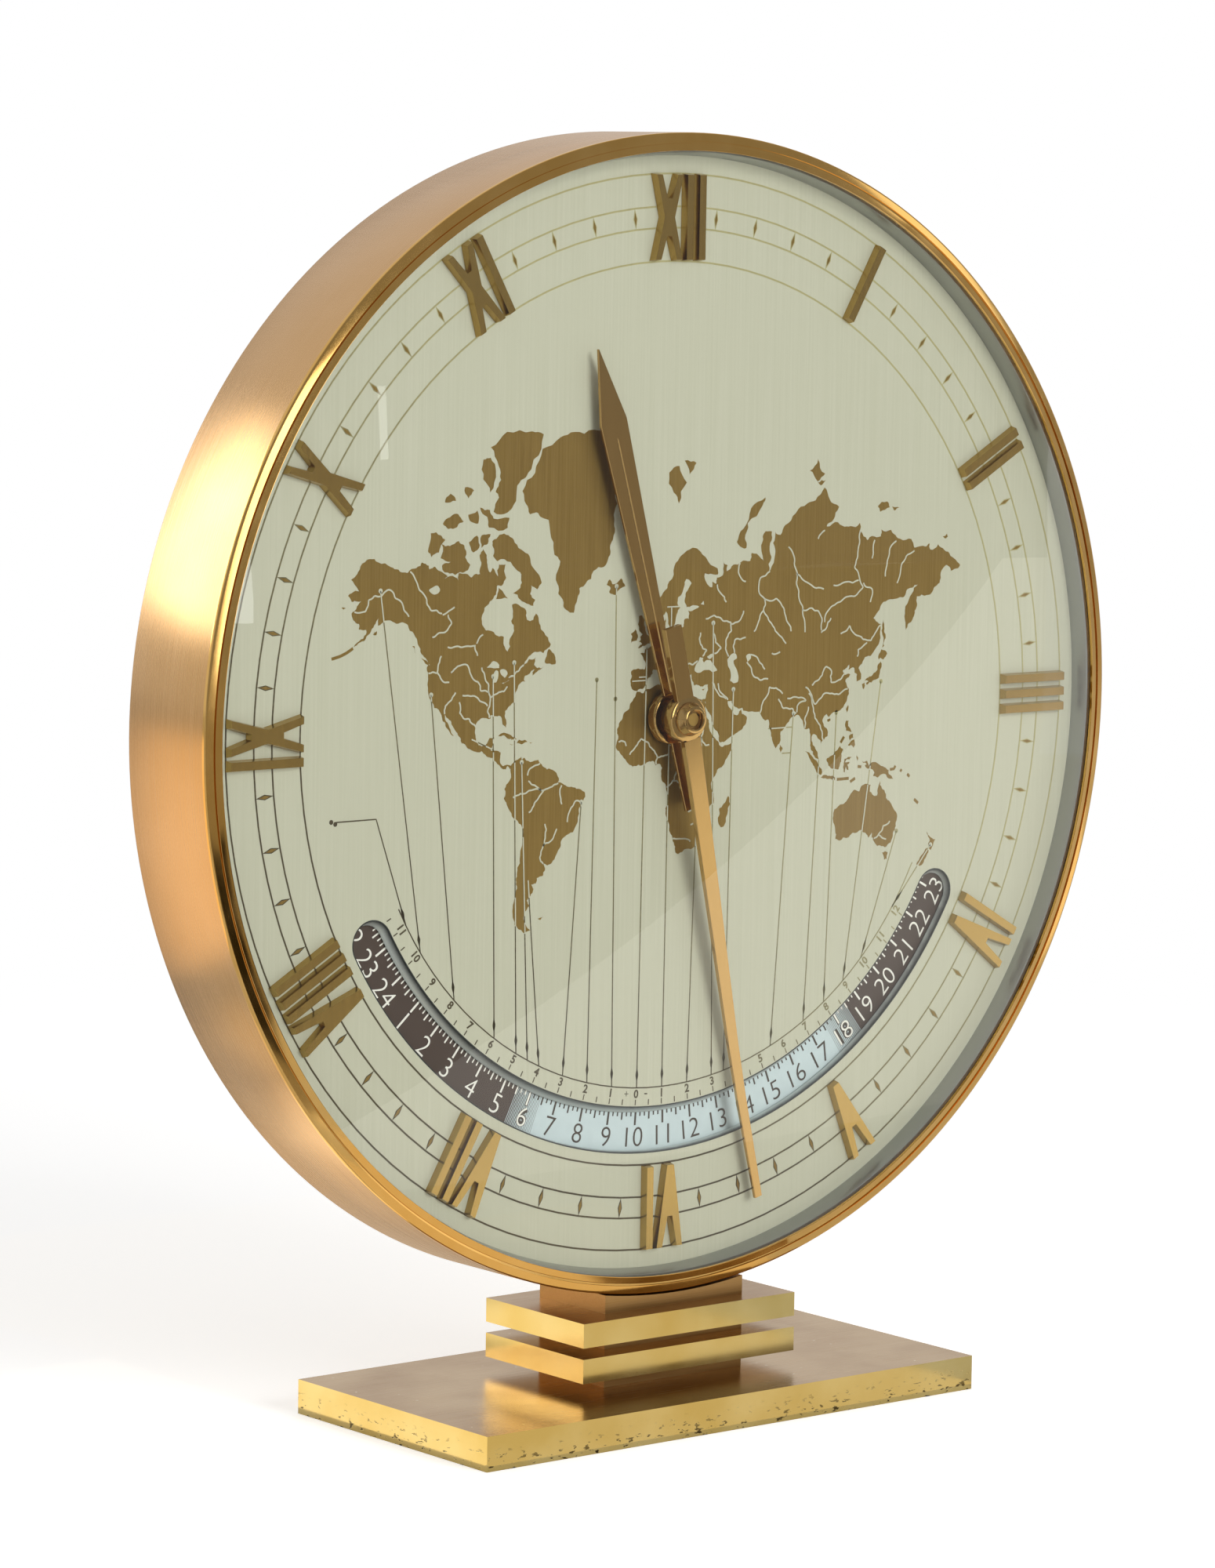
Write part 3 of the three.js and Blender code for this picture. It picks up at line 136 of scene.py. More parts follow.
def block_brass(name, pit_share):
    """Brass block: satin where a face looks up, polished at the sides, pitted by pit_share low down,
    and darkened towards brown on its rounded edges.  The satin grain runs along X; real lap marks of
    0.05 mm are drawn 0.4 mm wide so that they show."""
    brass = finish(name)
    place = add(brass, "ShaderNodeTexCoord", {}, 3)
    normal = add(brass, "ShaderNodeNewGeometry", {}, 1)
    up = add(brass, "ShaderNodeSeparateXYZ", {0: normal}, 2)
    height = add(brass, "ShaderNodeSeparateXYZ", {0: place}, 2)
    top = ranged(brass, up, 0.6, 0.9)
    grain = noise(brass, (40, 0.4, 0.4), 3)
    clouds = noise(brass, 22, 4)
    cloud = ranged(brass, clouds, 0.35, 0.65)
    satin = mixed(brass, cloud, *TOP_BROWNS)
    gold = mixed(brass, cloud, *EDGE_GOLDS)
    metal = mixed(brass, top, gold, satin)
    facing = 0
    for i in range(3):
        part = add(brass, "ShaderNodeSeparateXYZ", {0: normal}, i)
        part = reckon(brass, "ABSOLUTE", part)
        facing = reckon(brass, "MAXIMUM", part, facing)
    # the rounded edges, where the normal leans off the block's axes, darken towards brown
    dark_edge_share = ranged(brass, facing, 0.985, 0.88, 0, 0.75)
    metal = mixed(brass, dark_edge_share, metal, PIT_AND_EDGE_BROWN)
    # pits of 2 by 0.8 mm
    dragged = add(brass, "ShaderNodeMapping",
                  {0: place, 2: (0, 0.12, 0), 3: (1000 / 2, 1000 / 2, 1000 / 0.8)})
    spots = add(brass, "ShaderNodeTexNoise", {"Vector": dragged, "Scale": 1, "Detail": 5})
    low = ranged(brass, height, 6 * MM, 0.5 * MM, 0, pit_share)
    bite = ranged(brass, spots, 0.62, 0.66)
    pits = reckon(brass, "MULTIPLY", bite, low)
    worn = mixed(brass, pits, metal, PIT_AND_EDGE_BROWN)
    grit = add(brass, "ShaderNodeTexVoronoi", {"Vector": place, "Scale": 1000 / 5})
    speck = ranged(brass, grit, 0.06, 0.04)
    dust = reckon(brass, "MULTIPLY", speck, top)
    dusty = mixed(brass, dust, worn, DUST_PALE)
    rough_top = ranged(brass, grain, 0.3, 0.7, 0.2, 0.28)
    rough_side = ranged(brass, clouds, 0.35, 0.65, 0.10, 0.18)
    rough = add(brass, "ShaderNodeMix", {0: top, 2: rough_side, 3: rough_top})
    bump = add(brass, "ShaderNodeBump", {"Height": grain, "Strength": 0.05, "Distance": 0.02 * MM})
    dent = add(brass, "ShaderNodeBump", {"Height": pits, "Strength": 0.6, "Distance": 0.2 * MM,
                                         "Normal": bump}, invert=True)
    surface(brass, {"Base Color": dusty, "Metallic": 1, "Roughness": rough, "Normal": dent})
    return brass


dress("base_plate", block_brass("lapped_brass_base", 1.0), BLOCK_EDGE)
slab_brass = block_brass("lapped_brass_slab", 0.0)
dress("lower_slab", slab_brass, BLOCK_EDGE)
dress("upper_slab", slab_brass, BLOCK_EDGE)


# ---- Necks -------------------------------------------------------------------------------
# Short brass spacers between the blocks, milled and left with the cutter's fine lines, a little
# redder than the polished edges.  The top one is hollowed to the drum.

NECK_BRASS = ("#A27B4A", "#BF9A66")
NECK_EDGE = 0.15


def grained(material, grain, tones, roughs, metal=1, spread=(0, 1), bump=None):
    """Lets one grain carry a finish: two tones, the roughness at both ends of the grain's spread and,
    where it is felt, a bump of a strength and a depth in mm."""
    links = {"Base Color": mixed(material, grain, *tones), "Metallic": metal,
             "Roughness": ranged(material, grain, *spread, *roughs)}
    if bump:
        links["Normal"] = add(material, "ShaderNodeBump",
                              {"Height": grain, "Strength": bump[0], "Distance": bump[1] * MM})
    surface(material, links)


neck_brass = finish("milled_brass_neck")
# cutter lines every 0.3 mm, running along X
cutter = noise(neck_brass, (30, 0.3, 0.3), 2)
grained(neck_brass, cutter, NECK_BRASS, (0.28, 0.4), spread=(0.3, 0.7), bump=(0.2, 0.02))
for name in ("lower_neck", "middle_neck", "upper_neck"):
    dress(name, neck_brass, NECK_EDGE)


# ---- Stand bolts -------------------------------------------------------------------------
# Two long zinc-plated steel bolts, their heads sunk in the base plate's underside.

ZINC = ("#8E908E", "#B4B5B1")
zinc_steel = finish("zinc_plated_steel")
# zinc spangle of about 1.5 mm
grained(zinc_steel, noise(zinc_steel, 1.5, 2), ZINC, (0.28, 0.45))
for name in ("stand_bolt_left", "stand_bolt_right"):
    dress(name, zinc_steel)


# ---- Case band ---------------------------------------------------------------------------
# The drum's wall: a rolled brass band, brushed round and round on the lathe and lacquered.  It has
# a shoulder inside at the front for the dial and a wider one behind for the rear cover.


def ends(name):
    """A CAD node's lowest and highest corner, in mm."""
    return [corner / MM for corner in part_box(name)]


band_low, band_high = ends("case_band")
AXIS_Z = (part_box("bezel")[0].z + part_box("bezel")[1].z) / 2 / MM
DRUM_R = band_high.x
BAND_INNER_R = DRUM_R - 2.2
COVER_SHOULDER, DIAL_SHOULDER = 8.3, 3.5
SHOULDER_THICK = 1.5
BAND_TONES = ("#D2A56C", "#DEB380")
TURN_STEPS = 240


def as_piece(mesh, name, material, body, sharp=35):
    """Makes an object of a finished bmesh, smooth but for edges sharper than the given degrees."""
    bmesh.ops.recalc_face_normals(mesh, faces=mesh.faces)
    data = bpy.data.meshes.new(name)
    mesh.to_mesh(data)
    mesh.free()
    data.polygons.foreach_set("use_smooth", [True] * len(data.polygons))
    data.set_sharp_from_angle(angle=math.radians(sharp))
    data.materials.append(material)
    piece = bpy.data.objects.new(name, data)
    bpy.context.scene.collection.objects.link(piece)
    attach(piece, body)
    return piece


def turn(mesh, profile, steps=TURN_STEPS):
    """Turns a closed profile of (radius, y) points round the hands' axis into a bmesh."""
    rings = []
    for radius, y in profile:
        count = steps if radius > 1e-6 else 1
        ring = []
        for i in range(count):
            angle = 2 * math.pi * i / steps
            spot = (radius * math.sin(angle), y, AXIS_Z + radius * math.cos(angle))
            ring.append(mesh.verts.new(Vector(spot) * MM))
        rings.append(ring)
    for ring, after in zip(rings, rings[1:] + rings[:1]):
        for i in range(steps):
            j = (i + 1) % steps
            corners = [ring[i % len(ring)], ring[j % len(ring)],
                       after[j % len(after)], after[i % len(after)]]
            corners = list(dict.fromkeys(corners))
            if len(corners) > 2:
                mesh.faces.new(corners)


def turned(name, profile, material, body="case", sharp=35):
    mesh = bmesh.new()
    turn(mesh, profile)
    return as_piece(mesh, name, material, body, sharp)


def round_noise(owner, along, across, detail):
    """Noise that runs round the hands' axis, with features along and across the brushing in mm."""
    place = add(owner, "ShaderNodeTexCoord", {}, 3)
    parts = [add(owner, "ShaderNodeSeparateXYZ", {0: place}, i) for i in range(3)]
    rise = reckon(owner, "SUBTRACT", parts[2], AXIS_Z * MM)
    angle = reckon(owner, "ARCTAN2", parts[0], rise)
    squares = [reckon(owner, "MULTIPLY", part, part)
               for part in (parts[0], rise)]
    square = reckon(owner, "ADD", squares[0], squares[1])
    radius = reckon(owner, "SQRT", square)
    arc = reckon(owner, "MULTIPLY", angle, DRUM_R / along)
    depth = reckon(owner, "MULTIPLY", parts[1], 1000 / across)
    out = reckon(owner, "MULTIPLY", radius, 1000 / across)
    spot = add(owner, "ShaderNodeCombineXYZ", {0: arc, 1: depth, 2: out})
    return add(owner, "ShaderNodeTexNoise", {"Vector": spot, "Scale": 1, "Detail": detail})


brushed_band = finish("brushed_brass_band")
# brush lines 60 mm long; the real 0.05 mm ones are drawn 0.25 mm wide so that they show
grain = round_noise(brushed_band, 60, 0.25, 3)
clouds = noise(brushed_band, 30, 3)
shade = ranged(brushed_band, reckon(brushed_band, "ADD", grain, clouds), 0.75, 1.25)
tone = mixed(brushed_band, shade, *BAND_TONES)
rough = ranged(brushed_band, grain, 0.3, 0.7, 0.22, 0.3)
bump = add(brushed_band, "ShaderNodeBump", {"Height": grain, "Strength": 0.06, "Distance": 0.02 * MM})
round_way = add(brushed_band, "ShaderNodeTangent", {}, direction_type="RADIAL", axis="Y")
surface(brushed_band, {"Base Color": tone, "Metallic": 1, "Roughness": rough, "Normal": bump,
                       "Anisotropic": 0.75, "Anisotropic Rotation": 0.25, "Tangent": round_way})

dial_low, dial_high = ends("dial")
DIAL_Y = dial_low.y
COVER_Y = ends("rear_cover")[0].y
DIAL_SEAT = 1.2
SEAT_Y = DIAL_Y + DIAL_SEAT
BAND_ROUND = 0.5
band_profile = [
    (DRUM_R, band_low.y), (DRUM_R, band_high.y - BAND_ROUND),
    (DRUM_R - 0.3 * BAND_ROUND, band_high.y - 0.3 * BAND_ROUND), (DRUM_R - BAND_ROUND, band_high.y),
    (BAND_INNER_R, band_high.y), (BAND_INNER_R, COVER_Y),
    (BAND_INNER_R - COVER_SHOULDER, COVER_Y), (BAND_INNER_R - COVER_SHOULDER, COVER_Y - SHOULDER_THICK),
    (BAND_INNER_R, COVER_Y - SHOULDER_THICK), (BAND_INNER_R, SEAT_Y + SHOULDER_THICK),
    (BAND_INNER_R - DIAL_SHOULDER, SEAT_Y + SHOULDER_THICK), (BAND_INNER_R - DIAL_SHOULDER, SEAT_Y),
    (BAND_INNER_R, SEAT_Y), (BAND_INNER_R, band_low.y),
]
band = turned("drum_band", band_profile, brushed_band)
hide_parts("case_band")


# ---- Bezel -------------------------------------------------------------------------------
# A turned brass ring pressed on the band's front: a broken edge, a sloping step, a thin groove and
# a second step that ends in the lip over the glass, all buffed to a mirror.

bezel_low, bezel_high = ends("bezel")
FRONT = bezel_low.y
BEZEL_TONES = ("#D9A654", "#EBC078")
LIP_R = DRUM_R - 4.1
LIP_THICK = 0.7
SKIRT_R = DRUM_R - 3.1

buffed_brass = finish("buffed_brass_bezel")
# smears left by wiping, about 9 mm across
smears = noise(buffed_brass, 9, 4)
grained(buffed_brass, smears, BEZEL_TONES, (0.07, 0.14), spread=(0.3, 0.7))

# (distance in from the drum's side, distance back from the bezel's front)
BEZEL_STEPS = (
    (0, 1.15), (0.03, 1.0), (0.1, 0.88), (0.22, 0.8), (0.5, 0.72), (0.56, 0.705), (1.93, 0.385),
    (1.98, 0.375), (2.02, 0.8), (2.45, 0.8), (2.5, 0.45), (2.55, 0.42), (2.61, 0.4), (3.93, 0.03),
    (3.98, 0.01), (4.04, 0.0), (4.1, 0.06), (4.1, 0.25),
)
bezel_profile = [(DRUM_R, bezel_high.y)]
bezel_profile += [(DRUM_R - inwards, FRONT + back) for inwards, back in BEZEL_STEPS]
bezel_profile += [(LIP_R, FRONT + LIP_THICK), (SKIRT_R, FRONT + LIP_THICK), (SKIRT_R, bezel_high.y)]
bezel = turned("drum_bezel", bezel_profile, buffed_brass, sharp=28)
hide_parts("bezel")


# ---- Inner flange ------------------------------------------------------------------------
# A spun aluminium ring, sprayed a warm satin grey, that slopes from the glass down to the dial and
# hides the dial's edge.

FLANGE_GREYS = ("#9EA09B", "#A8A9A4")
flange_paint = finish("satin_grey_lacquer")
# spinning lines 40 mm long and 0.3 mm wide
spinning = round_noise(flange_paint, 40, 0.3, 2)
grained(flange_paint, spinning, FLANGE_GREYS, (0.27, 0.32), metal=0.75)

flange_low, flange_high = ends("inner_flange")
FLANGE_R = flange_high.x
FLANGE_FOOT = DRUM_R - 5.2
FLANGE_EDGE = 0.2
# the outer wall, the foot on the dial, then the slope up to the folded edge under the bezel's lip
flange_profile = [
    (FLANGE_R, flange_low.y), (FLANGE_R, flange_high.y),
    (FLANGE_FOOT, flange_high.y), (FLANGE_FOOT, flange_high.y - FLANGE_EDGE),
    (LIP_R - 0.5, flange_low.y + 0.3), (LIP_R - 0.3, flange_low.y),
]
flange = turned("dial_flange", flange_profile, flange_paint)
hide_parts("inner_flange")


# ---- Glass -------------------------------------------------------------------------------
# A pressed mineral glass, domed so that it clears the hands, sprung in under the bezel's lip.  Clear
# with a faint haze from wiping.  Only rays from the eye bend in it, so the dial is lit evenly.

glass_low, glass_high = ends("glass")
GLASS_R = glass_high.x
GLASS_EDGE = 1.4
GLASS_IOR = 1.48
GLASS_STEPS = 28
crown = glass_high.y - GLASS_EDGE - glass_low.y
clear_glass = finish("mineral_glass")
# haze in patches of 35 mm
haze = noise(clear_glass, 35, 2)
rough = ranged(clear_glass, haze, 0.45, 0.75, 0.0, 0.02)
surface(clear_glass, {"Base Color": linear("#F6FAF6"), "Roughness": rough, "IOR": GLASS_IOR,
                      "Transmission Weight": 1})
# shadow, diffuse and mirrored rays pass straight through
ray = [add(clear_glass, "ShaderNodeLightPath", {}, i) for i in (1, 2, 5)]
unseen = reckon(clear_glass, "ADD", ray[0], ray[1])
unseen = reckon(clear_glass, "ADD", unseen, ray[2], use_clamp=True)
through = add(clear_glass, "ShaderNodeBsdfTransparent", {})
solid_glass = clear_glass.node_tree.nodes["Principled BSDF"].outputs[0]
# on its way out of the inner face the eye's ray only bends, which leaves one clean reflection
leaving = add(clear_glass, "ShaderNodeLightPath", {}, 6)
bent = add(clear_glass, "ShaderNodeBsdfRefraction", {"Roughness": 0, "IOR": GLASS_IOR})
inner = add(clear_glass, "ShaderNodeMixShader", {0: leaving, 1: solid_glass, 2: bent})
seen = add(clear_glass, "ShaderNodeMixShader", {0: unseen, 1: inner, 2: through})
wire(clear_glass, clear_glass.node_tree.nodes["Material Output"], {"Surface": seen})


def dome(radius, edge_y, rise):
    """Points of a shallow arc from the rim to the crown."""
    sphere = (radius * radius + rise * rise) / (2 * rise)
    points = []
    for i in range(GLASS_STEPS + 1):
        r = radius * (1 - i / GLASS_STEPS)
        points.append((r, edge_y - (math.sqrt(sphere * sphere - r * r) - (sphere - rise))))
    return points


glass_profile = dome(GLASS_R, glass_high.y - GLASS_EDGE, crown)
glass_profile += list(reversed(dome(GLASS_R, glass_high.y, crown)))
glass = turned("domed_glass", glass_profile, clear_glass)
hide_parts("glass")


# ---- Dial plate --------------------------------------------------------------------------
# A brass disc, grained up and down and sprayed with a thin greenish cream lacquer that lets the
# graining through.  An arc slot is punched in its lower half, with a turned-in rim.

DIAL_CREAMS = ("#B8B89F", "#C8C7B2")
cream = finish("cream_lacquer_on_grained_brass")
# graining of 0.1 mm, drawn 0.5 mm wide so that it shows, in strokes of 50 mm
grained(cream, noise(cream, (0.5, 0.5, 50), 3), DIAL_CREAMS, (0.42, 0.58), metal=0.15)
dress("dial", cream)

SLOT_INNER_R, SLOT_OUTER_R = 90.0, 100.7
SLOT_HALF = math.radians(61)
SLOT_EDGE = 0.12
SLOT_STEPS = 96
SLOT_END_STEPS = 20


def from_bottom(radius, angle):
    """A dial point at a radius and an angle counted to the right from 6 o'clock."""
    return radius * math.sin(angle), -radius * math.cos(angle)


def slot_outline(outer, inner):
    """The slot's outline, grown by one offset at its outer arc and another at its inner arc."""
    middle = (SLOT_INNER_R + SLOT_OUTER_R + outer - inner) / 2
    half = (SLOT_OUTER_R - SLOT_INNER_R + outer + inner) / 2
    points = []
    for i in range(SLOT_STEPS):
        points.append(from_bottom(middle + half, SLOT_HALF * (2 * i / SLOT_STEPS - 1)))
    for side, start in ((1, 0), (-1, math.pi)):
        cx, cz = from_bottom(middle, side * SLOT_HALF)
        for i in range(SLOT_END_STEPS):
            swing = side * SLOT_HALF + start + math.pi * i / SLOT_END_STEPS
            points.append((cx + half * math.sin(swing), cz - half * math.cos(swing)))
        if side == 1:
            for i in range(SLOT_STEPS):
                points.append(from_bottom(middle - half, SLOT_HALF * (1 - 2 * i / SLOT_STEPS)))
    return points


def skin(mesh, rows):
    """Faces between each row of points and the next, all of one length and closed round."""
    for row, after in zip(rows, rows[1:]):
        for i in range(len(row)):
            j = (i + 1) % len(row)
            mesh.faces.new([row[i], row[j], after[j], after[i]])


RIM_SHADE_GREYS = ("#2C3133", "#C0C7C4")
RIM_PROUD = 0.02
rim_paint = finish("blue_grey_rim_lacquer")
place = add(rim_paint, "ShaderNodeTexCoord", {}, 3)
depth = add(rim_paint, "ShaderNodeSeparateXYZ", {0: place}, 1)
# painted shade and painted reflection: the rim is dark at the dial's face and paler deeper in, towards
# the ring
sunk = ranged(rim_paint, depth, (DIAL_Y + 0.1) * MM, (DIAL_Y + 1.3) * MM)
# brush marks of 0.5 mm in the lacquer
mottle = noise(rim_paint, 0.5, 2)
mottle = ranged(rim_paint, mottle, 0, 1, -0.08, 0.08)
shade = reckon(rim_paint, "ADD", sunk, mottle, use_clamp=True)
tone = mixed(rim_paint, shade, *RIM_SHADE_GREYS)
surface(rim_paint, {"Base Color": tone, "Metallic": 0.4, "Roughness": 0.3})

# (growth of the outer arc, growth of the inner arc, y): from the dial's back along the sloping wall
# to its face, over the punched edge and back
RIM_ROWS = (
    (-0.4, -1.5, dial_high.y), (-0.36, -1.2, dial_high.y - 0.4), (-0.3, -0.75, dial_high.y - 0.9),
    (-0.24, -0.3, DIAL_Y + 0.3), (-0.16, -0.16, DIAL_Y - RIM_PROUD),
    (SLOT_EDGE, SLOT_EDGE, DIAL_Y - RIM_PROUD), (SLOT_EDGE, SLOT_EDGE, DIAL_Y + 0.3),
    (0.2, 0.2, dial_high.y),
)
rim_mesh = bmesh.new()
rim_rows = []
for outer, inner, y in RIM_ROWS:
    spots = [Vector((x, y, AXIS_Z + z)) * MM for x, z in slot_outline(outer, inner)]
    rim_rows.append([rim_mesh.verts.new(spot) for spot in spots])
skin(rim_mesh, rim_rows + rim_rows[:1])
slot_rim = as_piece(rim_mesh, "slot_rim", rim_paint, "case", 60)


# ---- Dial print: land --------------------------------------------------------------------
# A world map on a cylinder projection.  The land is the bare grained brass of the dial, left free of
# the cream lacquer by a stencil; lakes and rivers are cream.  Outlines are longitude,latitude pairs.

MAP_MIDDLE = -6.3
MAP_DEGREE = 0.504
MAP_EQUATOR = -13.3
MAP_SPREAD = 28.88
PRINT = 0.03

